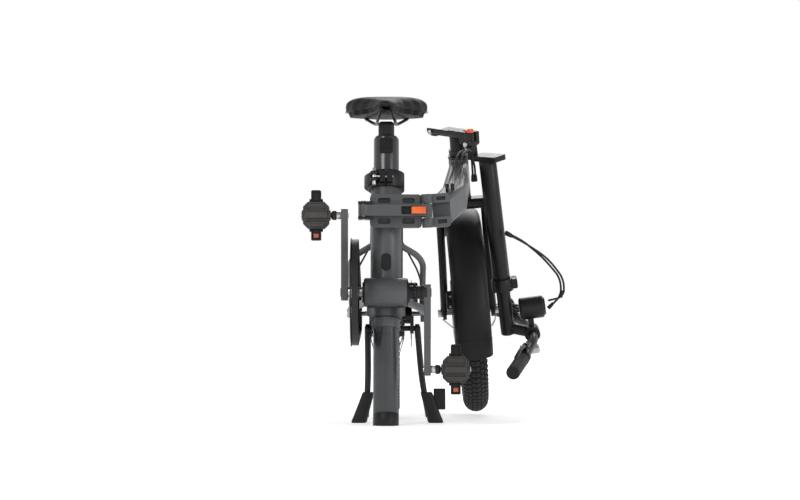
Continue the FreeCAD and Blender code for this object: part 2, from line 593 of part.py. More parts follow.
def stem_frame(shape):
    """From a frame with the post hinge pin along X at Y = STEM_HINGE_D to the unfolded bicycle."""
    shape = shape.copy()
    shape.rotate(Vector(0, 0, 0), Vector(0, 0, 1), 45)
    return steer(shape, STEM_PLANE)


def make_stem_hinge():
    d, drop = STEM_HINGE_D, -STEM_HINGE_DROP
    pin = rod(Vector(-24, d, drop), Vector(24, d, drop), 4)
    room = rod(Vector(-60, d, drop), Vector(60, d, drop), 4 + FIT)
    lower = soft_box(-20, 20, -44, 34, -13, -GAP, 5, Vector(0, 0, 1))
    for side in (-1, 1):
        low, high = min(side * 9.5, side * 20), max(side * 9.5, side * 20)
        lower = lower.fuse(rod(Vector(low, d, drop), Vector(high, d, drop), 9))
        lower = lower.fuse(soft_box(low, high, 24, d + 9, drop, -GAP, 3, SIDE))
    upper = soft_box(-20, 20, -44, 34, GAP, 13, 5, Vector(0, 0, 1))
    barrel = rod(Vector(-9, d, drop), Vector(9, d, drop), 9)
    barrel = barrel.fuse(soft_box(-9, 9, d - 9, d + 9, drop, 13, 3, SIDE)).fuse(box(-9, 9, 20, d, GAP, 12))
    upper = upper.fuse(barrel)
    lower = lower.cut(soft_box(-9.4, 9.4, d - 11, d + 20, drop - 12, 10, 2, SIDE))
    lower = lower.fuse(soft_box(18, 30, -58, -38, -13, 0, 3, SIDE))
    lever_pin = rod(Vector(12, -51, -2), Vector(40, -51, -2), 3)
    keep("stem_hinge_base", stem_frame(lower.cut(pin).cut(lever_pin)))
    keep("stem_hinge_pin", stem_frame(pin))
    keep("stem_latch_pin", stem_frame(lever_pin))
    lever = soft_box(30.5, 37.5, -64, 62, -5, 7, 2.5).fuse(soft_box(29, 39, 60, 84, -11, 9, 3))
    lever = lever.cut(rod(Vector(0, -51, -2), Vector(60, -51, -2), 3 + FIT))
    keep("stem_latch_lever", stem_frame(lever))
    catch = soft_box(30, 38, 56, 72, 9.5, 15, 2).fuse(soft_box(28, 40, 72, 83, 9.5, 19, 2))
    keep("stem_latch_safety_catch", stem_frame(catch))
    post = Part.makeCylinder(POST_R, POST_LENGTH - 13).cut(Part.makeCylinder(INNER_POST_R + FIT, 900))
    post.translate(Vector(0, 0, 13))
    keep("handlepost_hinge_block", fold_post(stem_frame(upper.cut(room))))
    keep("handlepost", fold_post(steer(post, STEM_PLANE)))
    top = POST_LENGTH
    collar = ring(Vector(0, 0, top - 14), Vector(0, 0, 1), POST_R + 5, POST_R, 30)
    collar = collar.fuse(soft_box(-12, 12, -POST_R - 16, -POST_R + 2, top - 27, top - 3, 4, SIDE))
    collar = collar.cut(box(-1.5, 1.5, -80, 0, top - 40, top + 10)).cut(Part.makeCylinder(POST_R, 900))
    bolt = rod(Vector(-37, -POST_R - 9, top - 15), Vector(13, -POST_R - 9, top - 15), 3)
    keep("handlepost_clamp_collar", fold_post(steer(collar.cut(bolt), STEM_PLANE)))
    keep("handlepost_clamp_bolt", fold_post(steer(bolt, STEM_PLANE)))
    arm = soft_box(-35, -27.5, -POST_R - 16, 22, top - 24, top - 6, 3)
    arm = arm.cut(rod(Vector(-60, -POST_R - 9, top - 15), Vector(60, -POST_R - 9, top - 15), 3 + FIT))
    keep("handlepost_clamp_lever", fold_post(steer(arm, STEM_PLANE)))


def post_frame(shape):
    return fold_post(steer(shape, STEM_PLANE))


def make_handlebar():
    clamp = Vector(0, -STEM_REACH - 6, BAR_HEIGHT + 2)
    inner = Part.makeCylinder(INNER_POST_R, BAR_HEIGHT - 60, Vector(0, 0, 60))
    keep("inner_handlepost", post_frame(inner.makeFillet(6, inner.Edges[:1])))
    stub = rod(Vector(0, 0, BAR_HEIGHT - 18), clamp, 13).cut(inner)
    body = disc(clamp, SIDE, 19, 44)
    bore = disc(clamp, SIDE, BAR_R, 80)
    keep("bar_stem", post_frame(stub.fuse(body).cut(bore)))
    bend, rise_at, tip = Vector(70, 0, 0), Vector(128, 16, 4), Vector(290, 66, 10)
    mirror = [Vector(-p.x, p.y, p.z) for p in (tip, rise_at, bend)]
    route = [clamp + p for p in mirror + [bend, rise_at, tip]]
    keep("handlebar", post_frame(pipe(route, BAR_R)))
    for side, name in ((-1, "right"), (1, "left")):
        start = clamp + Vector(side * rise_at.x, rise_at.y, rise_at.z)
        end = clamp + Vector(side * tip.x, tip.y, tip.z)
        along = (end - start).normalize()
        run = (end - start).Length
        grip = rod(start + along * 74, start + along * (run + 4), GRIP_R)
        grip = grip.cut(rod(start, end, BAR_R))
        keep("grip_" + name, post_frame(grip))
        down = Vector(0, -0.3, -1)
        front = (down - along * down.dot(along)).normalize()
        third = along.cross(front)
        turn = FreeCAD.Rotation(along, front, third, "XYZ")
        place = FreeCAD.Placement(start + along * 60, turn)
        holder = ring(Vector(0, 0, 0), SIDE, 16, BAR_R, 16).fuse(soft_box(-8, 10, 13, 34, -8, 8, 3))
        holder = holder.fuse(rod(Vector(-34, 24, 0), Vector(0, 24, 0), 6.5))
        pin = rod(Vector(4, 26, -12), Vector(4, 26, 12), 2.5)
        holder = holder.cut(pin).cut(box(-1, 20, 18, 40, -4.4, 4.4))
        blade = pipe([Vector(4, 26, 0), Vector(26, 38, 0), Vector(62, 43, 0), Vector(112, 38, 0)], 4)
        blade = blade.fuse(rod(Vector(4, 26, -4), Vector(4, 26, 4), 5.5))
        blade = blade.cut(rod(Vector(4, 26, -20), Vector(4, 26, 20), 2.5 + FIT))
        holder = holder.cut(rod(Vector(4, 26, -4.4), Vector(4, 26, 4.4), 7))
        for label, shape in (("brake_mount_", holder), ("brake_pivot_", pin), ("brake_lever_", blade)):
            shape = shape.copy()
            shape.Placement = place
            keep(label + name, post_frame(shape))
        PIVOTS[name] = (place.multVec(Vector(4, 26, 0)), place.Rotation.multVec(Vector(0, 0, 1)))
    lamp_at = clamp + Vector(0, -6, -62)
    lamp = rod(lamp_at + Vector(0, 30, 0), lamp_at + Vector(0, -30, 0), 27)
    lamp = lamp.makeFillet(6, [e for e in lamp.Edges if e.Length > 100])
    arm = soft_box(-8, 8, clamp.y - 8, clamp.y + 6, lamp_at.z + 20, clamp.z - 12, 3)
    keep("headlight", post_frame(lamp))
    keep("headlight_bracket", post_frame(arm.cut(lamp).cut(body)))
    lens = rod(lamp_at + Vector(0, -30, 0), lamp_at + Vector(0, -33, 0), 21)
    keep("headlight_lens", post_frame(lens))
    screen = soft_box(24, 62, clamp.y - 12, clamp.y + 26, clamp.z + 22, clamp.z + 38, 5)
    keep("display_unit", post_frame(screen.cut(pipe(route, BAR_R + 1))))
    cables = []
    for shift, drop in ((0, 0), (14, 22)):
        route = [Vector(20 + shift, -POST_R - 2, 190), Vector(20 + shift, -POST_R - 38, 214),
                 Vector(22 + shift, -104 - drop / 2, 262), Vector(24 + shift, -140 - drop / 3, 318),
                 Vector(26 + shift, -138 - drop / 4, 362), Vector(26 + shift, -104, 388 - drop)]
        cables.append(pipe(route, CABLE_R))
    keep("control_cables", post_frame(Part.makeCompound(cables)))


PIVOTS = {}
STAND_HINGE = Vector(14, 150, 214)


def make_kickstand():
    pivot = STAND_HINGE
    ear_at, leg_at = 44.0, 56.0
    reach = ear_at + 4
    bracket = box(pivot.x - reach, pivot.x + reach, pivot.y - 16, pivot.y + 16, pivot.z + 20, pivot.z + 28)
    for side in (-1, 1):
        x = pivot.x + side * ear_at
        ear = soft_box(x - 4, x + 4, pivot.y - 16, pivot.y + 16, pivot.z - 12, pivot.z + 28, 6, SIDE)
        bracket = bracket.fuse(ear)
    bracket = bracket.fuse(box(-14, 34, 100, 140, pivot.z + 20, BB_Z - 12))
    bracket = bracket.cut(disc(pivot, SIDE, 6 + FIT, 200))
    bracket = bracket.cut(lean(Part.makeCylinder(SEATPOST_R + 2, 700)))
    for name in ("rear_frame_tube", "chainstay_drive", "chainstay_left"):
        bracket = bracket.cut(NODES[name])
    keep("kickstand_bracket", max(bracket.Solids, key=lambda solid: solid.Volume))
    shaft = disc(pivot, SIDE, 6, 2 * leg_at + 12)
    keep("kickstand_shaft", shaft)
    for side, name, foot_x in ((-1, "drive", -46), (1, "left", 96)):
        start = pivot + Vector(side * leg_at, 0, 4)
        foot = Vector(foot_x, pivot.y + 6, 14)
        knee = Vector((start.x * 0.5 + foot.x * 0.5) - side * 3, pivot.y + 2, 100)
        leg = pipe([start, knee, foot], 7).fuse(disc(start - Vector(0, 0, 4), SIDE, 10, 10))
        keep("kickstand_leg_" + name, leg.cut(shaft))
        inner_edge, outer_edge = foot_x - 12 * side, foot_x + 27 * side
        pad_box = soft_box(min(inner_edge, outer_edge), max(inner_edge, outer_edge),
                           pivot.y - 12, pivot.y + 26, 0, 70, 6)
        if side > 0:
            pad_box = pad_box.fuse(soft_box(112, 134, pivot.y, pivot.y + 9, 30, 78, 4))
        keep("kickstand_foot_" + name, pad_box.cut(NODES["kickstand_leg_" + name]))


GROUPS = {
    "frame_pins": ["main_hinge_pin", "main_latch_pin", "seat_clamp_bolt", "seat_clamp_cam_pin",
                   "rear_axle"],
    "rear_stays": ["chainstay_drive", "chainstay_left", "seatstay_drive", "seatstay_left",
                   "dropout_drive", "dropout_left"],
    "rear_mudguard": ["rear_mudguard", "rear_mudguard_stays", "rear_mudguard_bracket"],
    "saddle_clamp": ["saddle_clamp", "saddle_rails"],
    "frame_brackets": ["main_latch_bracket", "kickstand_bracket"],
    "frame_fittings": ["bottom_bracket_cups", "seat_tube_port_plug"],
    "battery_port": ["battery_port_panel", "battery_port_cap", "port_panel_screws"],
    "crank_axles": ["crank_spindle", "pedal_spindle_drive", "pedal_spindle_left"],
    "crank_arms": ["crank_arm_drive", "crank_arm_left"],
    "pedal_drive": ["pedal_body_drive", "pedal_clips_drive", "pedal_reflectors_drive"],
    "pedal_left": ["pedal_body_left", "pedal_clips_left", "pedal_reflectors_left"],
    "rear_hub": ["rear_hub", "rear_brake_disc"],
    "front_hub": ["front_hub", "front_brake_disc"],
    "kickstand_legs": ["kickstand_shaft", "kickstand_leg_drive", "kickstand_leg_left"],
    "kickstand_feet": ["kickstand_foot_drive", "kickstand_foot_left"],
    "front_fittings": ["headset_cups", "frame_cable_guides"],
    "front_mudguard": ["front_mudguard", "front_mudguard_flap", "front_mudguard_stays",
                       "front_mudguard_bolt"],
    "fork_pins": ["front_axle", "stem_hinge_pin", "stem_latch_pin"],
    "stem_hinge_base": ["stem_hinge_base", "steerer_spacer"],
    "handlepost_fittings": ["handlepost_hinge_block", "handlepost_clamp_collar", "handlepost_clamp_bolt"],
    "grips": ["grip_left", "grip_right"],
    "brake_mounts": ["brake_mount_left", "brake_mount_right", "brake_pivot_left", "brake_pivot_right"],
    "headlight": ["headlight", "headlight_bracket", "headlight_lens"],
}


def group_nodes():
    """Small pieces of one body share a node, each as its own solid."""
    for name, members in GROUPS.items():
        solids = []
        for member in members:
            solids.extend(NODES.pop(member).Solids)
        NODES[name] = Part.makeCompound(solids)


def write_nodes():
    os.makedirs("parts", exist_ok=True)
    for name, shape in NODES.items():
        shape.exportStep("parts/" + name + ".step")


def build():
    make_rear_frame()
    make_seat()
    make_seat_clamp()
    make_drivetrain()
    make_main_latch()
    for name, shape in make_wheel("rear", REAR_AXLE, 55, 84, 58).items():
        keep(name, shape)
    make_kickstand()
    rear_half = set(NODES)
    for name, shape in make_wheel("front", FRONT_AXLE, 24, 58, 39.5).items():
        keep(name, shape)
    make_front_frame()
    make_fork()
    make_stem_hinge()
    make_handlebar()
    for name in list(NODES):
        if name not in rear_half:
            NODES[name] = fold_front(NODES[name])
    group_nodes()
    write_nodes()


build()
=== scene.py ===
import bpy
import bmesh
import json
import math
from mathutils import Matrix, Vector


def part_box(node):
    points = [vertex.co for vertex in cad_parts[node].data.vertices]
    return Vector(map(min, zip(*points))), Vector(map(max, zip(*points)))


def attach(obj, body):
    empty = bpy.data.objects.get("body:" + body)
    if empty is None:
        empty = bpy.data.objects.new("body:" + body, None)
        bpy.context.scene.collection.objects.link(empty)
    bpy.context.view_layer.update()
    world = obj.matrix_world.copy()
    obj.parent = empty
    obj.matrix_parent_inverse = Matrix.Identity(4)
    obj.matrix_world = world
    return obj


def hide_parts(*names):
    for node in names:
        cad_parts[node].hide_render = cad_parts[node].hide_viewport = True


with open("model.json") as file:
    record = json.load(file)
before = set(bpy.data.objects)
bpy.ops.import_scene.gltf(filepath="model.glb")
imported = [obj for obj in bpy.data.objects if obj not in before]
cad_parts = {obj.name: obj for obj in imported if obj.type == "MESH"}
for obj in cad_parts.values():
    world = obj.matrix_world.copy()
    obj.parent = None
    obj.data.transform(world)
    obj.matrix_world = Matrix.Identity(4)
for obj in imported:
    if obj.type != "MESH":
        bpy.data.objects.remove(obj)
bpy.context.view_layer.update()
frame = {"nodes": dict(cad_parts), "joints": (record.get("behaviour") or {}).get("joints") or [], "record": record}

NODES = frame["nodes"]
RECORD = frame["record"]
PI = math.pi


# ---------- camera, light and floor ----------

CAMERA_Z = 0.20
CAMERA_DISTANCE = 5.2
AIM = Vector((0.031, 0.0, 0.386))
PICTURE_WIDTH = 1.76
SENSOR_WIDTH = 36.0
LIGHT_AIM_KEY = (0.05, 0.3, 0.4)
LIGHT_AIM = (0.1, 0.3, 0.4)
FLOOR_SIZE = 200


def add_camera():
    data = bpy.data.cameras.new("camera")
    data.sensor_width = SENSOR_WIDTH
    data.lens = SENSOR_WIDTH * CAMERA_DISTANCE / PICTURE_WIDTH
    data.clip_end = 120
    camera = bpy.data.objects.new("camera", data)
    camera.location = (AIM.x, -CAMERA_DISTANCE, CAMERA_Z)
    camera.rotation_euler = (PI / 2, 0, 0)
    data.shift_y = (AIM.z - CAMERA_Z) / CAMERA_DISTANCE * data.lens / data.sensor_width
    bpy.context.scene.collection.objects.link(camera)
    bpy.context.scene.camera = camera


def add_light(name, place, aim, size, power):
    data = bpy.data.lights.new(name, "AREA")
    data.shape = "DISK"
    data.size = size
    data.energy = power
    light = bpy.data.objects.new(name, data)
    light.location = place
    light.rotation_euler = (Vector(aim) - Vector(place)).to_track_quat("-Z", "Y").to_euler()
    bpy.context.scene.collection.objects.link(light)


def fade_along(nodes, links, source, direction, start, end, low, high):
    """A value that runs from low to high between two places along one direction."""
    parts = nodes.new("ShaderNodeSeparateXYZ")
    links.new(source, parts.inputs["Vector"])
    fade = nodes.new("ShaderNodeMapRange")
    for key, value in (("From Min", start), ("From Max", end), ("To Min", low), ("To Max", high)):
        fade.inputs[key].default_value = value
    links.new(parts.outputs[direction], fade.inputs["Value"])
    return fade.outputs["Result"]


def add_world():
    """White at the horizon and darker overhead, so upper faces stay dark."""
    world = bpy.data.worlds.new("studio")
    world.use_nodes = True
    nodes, links = world.node_tree.nodes, world.node_tree.links
    background = nodes["Background"]
    background.inputs["Color"].default_value = (1.0, 1.0, 1.0, 1)
    sky = nodes.new("ShaderNodeTexCoord").outputs["Generated"]
    links.new(fade_along(nodes, links, sky, "Z", 0.18, 0.55, 1.0, 0.28), background.inputs["Strength"])
    bpy.context.scene.world = world


def add_studio():
    add_world()
    bpy.context.scene.view_settings.view_transform = "Standard"
    add_light("key", (-2.2, -3.0, 3.0), LIGHT_AIM_KEY, 1.8, 62)
    add_light("fill", (3.0, -2.2, 1.6), LIGHT_AIM, 2.0, 36)
    add_light("rim", (0.5, 3.6, 2.6), LIGHT_AIM, 2.0, 40)
    bpy.ops.mesh.primitive_plane_add(size=FLOOR_SIZE, location=(0, 0, -0.0004))
    floor = bpy.context.object
    floor.name = "floor"
    floor.data.materials.append(floor_material())


# ---------- materials ----------

def node_setup(name):
    material = bpy.data.materials.new(name)
    material.use_nodes = True
    nodes = material.node_tree.nodes
    shader = nodes["Principled BSDF"]
    return material, nodes, material.node_tree.links, shader


def floor_material():
    """Pale floor that glows more towards the back, beyond the reach of the lights."""
    material, nodes, links, shader = node_setup("floor")
    shader.inputs["Base Color"].default_value = (0.96, 0.96, 0.96, 1)
    shader.inputs["Roughness"].default_value = 0.75
    shader.inputs["Emission Color"].default_value = (1, 1, 1, 1)
    glow = fade_along(nodes, links, coordinates(nodes), "Y", 1.5, 3.5, 0.45, 0.90)
    links.new(glow, shader.inputs["Emission Strength"])
    return material


def coordinates(nodes):
    return nodes.new("ShaderNodeTexCoord").outputs["Object"]


def noise(nodes, links, scale, detail=4.0):
    texture = nodes.new("ShaderNodeTexNoise")
    texture.inputs["Scale"].default_value = scale
    texture.inputs["Detail"].default_value = detail
    links.new(coordinates(nodes), texture.inputs["Vector"])
    return texture.outputs["Fac"]


def ramp(nodes, links, source, low, high, start=0.3, end=0.7):
    blend = nodes.new("ShaderNodeValToRGB")
    blend.color_ramp.elements[0].position = start
    blend.color_ramp.elements[0].color = (*low, 1)
    blend.color_ramp.elements[1].position = end
    blend.color_ramp.elements[1].color = (*high, 1)
    links.new(source, blend.inputs["Fac"])
    return blend.outputs["Color"]


def spread(nodes, links, source, low, high):
    remap = nodes.new("ShaderNodeMapRange")
    remap.inputs["To Min"].default_value = low
    remap.inputs["To Max"].default_value = high
    links.new(source, remap.inputs["Value"])
    return remap.outputs["Result"]


def bump(nodes, links, shader, source, strength, distance):
    relief = nodes.new("ShaderNodeBump")
    relief.inputs["Strength"].default_value = strength
    relief.inputs["Distance"].default_value = distance
    links.new(source, relief.inputs["Height"])
    links.new(relief.outputs["Normal"], shader.inputs["Normal"])


def worn_edges(nodes, links, colour, wear_colour, amount):
    """Lighter paint where edges are rubbed."""
    geometry = nodes.new("ShaderNodeNewGeometry")
    edge = nodes.new("ShaderNodeMapRange")
    edge.inputs["From Min"].default_value = 0.56
    edge.inputs["From Max"].default_value = 0.68
    edge.inputs["To Max"].default_value = amount
    links.new(geometry.outputs["Pointiness"], edge.inputs["Value"])
    mix = nodes.new("ShaderNodeMix")
    mix.data_type = "RGBA"
    links.new(edge.outputs["Result"], mix.inputs["Factor"])
    links.new(colour, mix.inputs["A"])
    mix.inputs["B"].default_value = (*wear_colour, 1)
    return mix.outputs["Result"]


def surface(name, dark, light, rough, grain, relief, metallic=0.0, coat=0.0, wear=0.25, shine=0.5):
    """A varied surface: colour drift, uneven gloss, a fine grain and rubbed edges."""
    material, nodes, links, shader = node_setup(name)
    drift = noise(nodes, links, 9.0, 5.0)
    colour = ramp(nodes, links, drift, dark, light)
    rubbed = tuple(min(1.0, c * 1.9 + 0.03) for c in light)
    links.new(worn_edges(nodes, links, colour, rubbed, wear), shader.inputs["Base Color"])
    gloss = noise(nodes, links, 26.0, 6.0)
    links.new(spread(nodes, links, gloss, rough - 0.05, rough + 0.07), shader.inputs["Roughness"])
    bump(nodes, links, shader, noise(nodes, links, grain, 3.0), relief, 0.0004)
    shader.inputs["Metallic"].default_value = metallic
    shader.inputs["Coat Weight"].default_value = coat
    shader.inputs["Coat Roughness"].default_value = 0.22
    shader.inputs["Specular IOR Level"].default_value = shine
    return material


def leather_material(name):
    material, nodes, links, shader = node_setup(name)
    pores = nodes.new("ShaderNodeTexVoronoi")
    pores.inputs["Scale"].default_value = 620.0
    links.new(coordinates(nodes), pores.inputs["Vector"])
    links.new(ramp(nodes, links, noise(nodes, links, 14.0), (0.007, 0.007, 0.008), (0.013, 0.013, 0.014)),
              shader.inputs["Base Color"])
    links.new(spread(nodes, links, noise(nodes, links, 40.0), 0.52, 0.66), shader.inputs["Roughness"])
    bump(nodes, links, shader, pores.outputs["Distance"], 0.35, 0.0006)
    shader.inputs["Specular IOR Level"].default_value = 0.25
    return material


def brushed_material(name, dark, light, rough):
    material, nodes, links, shader = node_setup(name)
    stretch = nodes.new("ShaderNodeMapping")
    stretch.inputs["Scale"].default_value = (900, 900, 25)
    links.new(coordinates(nodes), stretch.inputs["Vector"])
    lines = nodes.new("ShaderNodeTexNoise")
    lines.inputs["Scale"].default_value = 1.0
    links.new(stretch.outputs["Vector"], lines.inputs["Vector"])
    links.new(ramp(nodes, links, lines.outputs["Fac"], dark, light), shader.inputs["Base Color"])
    gloss = spread(nodes, links, lines.outputs["Fac"], rough - 0.06, rough + 0.1)
    links.new(gloss, shader.inputs["Roughness"])
    bump(nodes, links, shader, lines.outputs["Fac"], 0.06, 0.0002)
    shader.inputs["Metallic"].default_value = 0.9
    return material


def lens_material(name):
    material, nodes, links, shader = node_setup(name)
    facets = nodes.new("ShaderNodeTexVoronoi")
    facets.inputs["Scale"].default_value = 160.0
    links.new(coordinates(nodes), facets.inputs["Vector"])
    links.new(ramp(nodes, links, facets.outputs["Distance"], (0.55, 0.57, 0.6), (0.9, 0.92, 0.95), 0.0, 0.8),
              shader.inputs["Base Color"])
    shader.inputs["Roughness"].default_value = 0.12
    shader.inputs["Coat Weight"].default_value = 1.0
    bump(nodes, links, shader, facets.outputs["Distance"], 0.3, 0.001)
    return material


MATERIALS = {
    "frame_grey": surface("frame_grey", (0.064, 0.067, 0.071), (0.082, 0.085, 0.090),
                          0.42, 1400, 0.03, 0.1, 0.08, shine=0.40),
    "black_metal": surface("black_metal", (0.007, 0.007, 0.008), (0.012, 0.012, 0.013),
                           0.40, 1100, 0.03, 0.0, 0.05, shine=0.28),
    "black_plastic": surface("black_plastic", (0.006, 0.006, 0.007), (0.011, 0.011, 0.012),
                             0.46, 900, 0.08, shine=0.25),
    "polished_grey": surface("polished_grey", (0.050, 0.052, 0.056), (0.066, 0.068, 0.073),
                             0.27, 700, 0.003, 0.6, 0.1, shine=0.4),
    "silver": brushed_material("silver", (0.42, 0.42, 0.43), (0.62, 0.62, 0.64), 0.28),
    "tyre_rubber": surface("tyre_rubber", (0.012, 0.012, 0.012), (0.02, 0.02, 0.02),
                           0.72, 700, 0.2, wear=0.1, shine=0.25),
    "grip_rubber": surface("grip_rubber", (0.022, 0.022, 0.023), (0.034, 0.034, 0.035),
                           0.62, 800, 0.18, shine=0.3),
    "saddle_cover": leather_material("saddle_cover"),
    "safety_orange": surface("safety_orange", (0.72, 0.10, 0.012), (0.82, 0.13, 0.02), 0.34, 900, 0.04),
    "reflector_amber": surface("reflector_amber", (0.30, 0.055, 0.01), (0.42, 0.08, 0.012),
                               0.2, 1200, 0.3, 0, 0.6),
    "pedal_plastic": surface("pedal_plastic", (0.030, 0.026, 0.024), (0.045, 0.040, 0.037), 0.6, 600, 0.3),
    "light_grey": surface("light_grey", (0.42, 0.43, 0.44), (0.52, 0.53, 0.54), 0.35, 900, 0.05),
    "lamp_lens": lens_material("lamp_lens"),
    "cable_black": surface("cable_black", (0.008, 0.008, 0.008), (0.013, 0.013, 0.013),
                           0.42, 900, 0.05, shine=0.3),
}


def dress_nodes():
    slots = {row["node"]: row["material_slot"] for row in RECORD["subparts"]}
    for name, node in NODES.items():
        material = MATERIALS[slots[name]]
        if not node.material_slots:
            node.data.materials.append(material)
        for slot in node.material_slots:
            slot.material = material


add_camera()
add_studio()
dress_nodes()


# ---------- shape helpers ----------

AXIS_ROUNDS = 12
BOTTOM_BRACKET = Vector((0, 0.020, 0.293))
SEAT_LEAN = math.radians(15)
SEAT_UP = Vector((0, math.sin(SEAT_LEAN), math.cos(SEAT_LEAN)))
SEAT_AHEAD = Vector((0, -math.cos(SEAT_LEAN), math.sin(SEAT_LEAN)))


def low_high(node):
    low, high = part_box(node)
    return Vector(low), Vector(high)


def joint(name):
    found = next(j for j in frame["joints"] if j["name"] == name)
    return Vector(found["pos_m"]), Vector(found["axis"]).normalized()


def piece(name, material, body, mesh_maker, bevel=0.0, smooth_angle=40.0, levels=0):
    """A mesh object made by mesh_maker(bm), dressed, softened at its edges and riding on a body."""
    mesh = bpy.data.meshes.new(name)
    bm = bmesh.new()
    mesh_maker(bm)
    bmesh.ops.recalc_face_normals(bm, faces=bm.faces)
    bm.to_mesh(mesh)
    bm.free()
    obj = bpy.data.objects.new(name, mesh)
    bpy.context.scene.collection.objects.link(obj)
    mesh.materials.append(MATERIALS[material])
    if bevel:
        soften = obj.modifiers.new("soft edges", "BEVEL")
        soften.width = bevel
        soften.segments = 3
        soften.limit_method = "ANGLE"
        soften.angle_limit = math.radians(35)
    if levels:
        rounding = obj.modifiers.new("rounding", "SUBSURF")
        rounding.levels = levels
        rounding.render_levels = levels
    mesh.shade_smooth()
    if not levels:
        mesh.set_sharp_from_angle(angle=math.radians(smooth_angle))
    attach(obj, body)
    return obj


def frame_of(axis, hint=Vector((0, 0, 1))):
    """A rotation whose Z is the axis."""
    z = Vector(axis).normalized()
    x = hint.cross(z)
    if x.length < 1e-4:
        x = Vector((1, 0, 0)).cross(z)
    x.normalize()
    y = z.cross(x)
    return Matrix((x, y, z)).transposed().to_4x4()


def lathe(bm, profile, centre, axis, steps=64, hint=Vector((0, 0, 1))):
    """Turns (radius, height) points round an axis through centre. A closed profile gives a closed ring."""
    place = Matrix.Translation(centre) @ frame_of(axis, hint)
    closed = profile[0] == profile[-1]
    points = profile[:-1] if closed else profile
    rings = []
    for radius, height in points:
        if radius < 1e-6:
            rings.append([bm.verts.new(place @ Vector((0, 0, height)))])
            continue
        rings.append([bm.verts.new(place @ Vector((radius * math.cos(2 * PI * i / steps),
                                                   radius * math.sin(2 * PI * i / steps), height)))
                      for i in range(steps)])
    pairs = list(zip(rings, rings[1:]))
    if closed:
        pairs.append((rings[-1], rings[0]))
    for near, far in pairs:
        for i in range(steps):
            j = (i + 1) % steps
            corners = [near[i % len(near)], near[j % len(near)], far[j % len(far)], far[i % len(far)]]
            unique = list(dict.fromkeys(corners))
            if len(unique) > 2:
                bm.faces.new(unique)


def block(bm, size, matrix, taper=1.0):
    """A box of that size, its top face scaled by taper."""
    x, y, z = (s / 2 for s in size)
    corners = []
    for top, scale in ((-z, 1.0), (z, taper)):
        for dx, dy in ((-x, -y), (x, -y), (x, y), (-x, y)):
            corners.append(bm.verts.new(matrix @ Vector((dx * scale, dy * scale, top))))
    bm.faces.new(corners[3::-1])
    bm.faces.new(corners[4:])
    for i in range(4):
        j = (i + 1) % 4
        bm.faces.new((corners[i], corners[j], corners[4 + j], corners[4 + i]))


def principal_axis(points):
    """Centre, longest direction and half length of a cloud of points."""
    centre = sum(points, Vector()) / len(points)
    far = max(points, key=lambda p: (p - centre).length)
    direction = (far - centre).normalized()
    for _ in range(AXIS_ROUNDS):
        total = Vector()
        for p in points:
            offset = p - centre
            total += offset * offset.dot(direction)
        direction = total.normalized()
    reach = [(p - centre).dot(direction) for p in points]
    middle = centre + direction * (min(reach) + max(reach)) / 2
    return middle, direction, (max(reach) - min(reach)) / 2


def node_points(name):
    return [v.co.copy() for v in NODES[name].data.vertices]


def soften_node(name, width):
    """Small rounded edges on a carried-over part."""
    node = NODES[name]
    weld = node.modifiers.new("weld", "WELD")
    weld.merge_threshold = 0.00002
    edge = node.modifiers.new("soft edges", "BEVEL")
    edge.width = width
    edge.segments = 2
    edge.limit_method = "ANGLE"
    edge.angle_limit = math.radians(38)
    edge.harden_normals = True


# ---------- wheels ----------

TYRE_R = 0.031
WHEEL_R = 0.250
RIM_R = 0.2035
TREAD_BLOCKS = 92
SPOKES = 20
VALVE_TURN = 0.31


def tyre_mesh(bm, centre, axis):
    """A smooth carcass with four rows of tread blocks on each side."""
    middle = WHEEL_R - TYRE_R - 0.0012
    profile = []
    for i in range(33):
        angle = math.radians(-152 + 304 * i / 32)
        radius = middle + (TYRE_R - 0.0016) * math.cos(angle)
        profile.append((max(RIM_R, radius), (TYRE_R - 0.0018) * math.sin(angle)))
    profile.append(profile[0])
    lathe(bm, profile, centre, axis, 144)
    place = Matrix.Translation(centre) @ frame_of(axis)
    for i in range(TREAD_BLOCKS):
        turn = Matrix.Rotation(2 * PI * i / TREAD_BLOCKS, 4, "Z")
        half = Matrix.Rotation(2 * PI * (i + 0.5) / TREAD_BLOCKS, 4, "Z")
        for side in (-1, 1):
            for tilt, size, spin, base in ((10, (0.0036, 0.0128, 0.0098), 12 * side, turn),
                                           (31, (0.0034, 0.0122, 0.0100), -10 * side, half),
                                           (52, (0.0032, 0.0112, 0.0096), 8 * side, turn),
                                           (72, (0.0026, 0.0080, 0.0070), 0, half)):
                lift = Matrix.Rotation(math.radians(-tilt * side), 4, "Y")
                out = base @ Matrix.Translation((middle, 0, 0)) @ lift
                out = out @ Matrix.Translation((TYRE_R - 0.0012, 0, 0))
                out = out @ Matrix.Rotation(math.radians(spin), 4, "X")
                block(bm, size, place @ out)


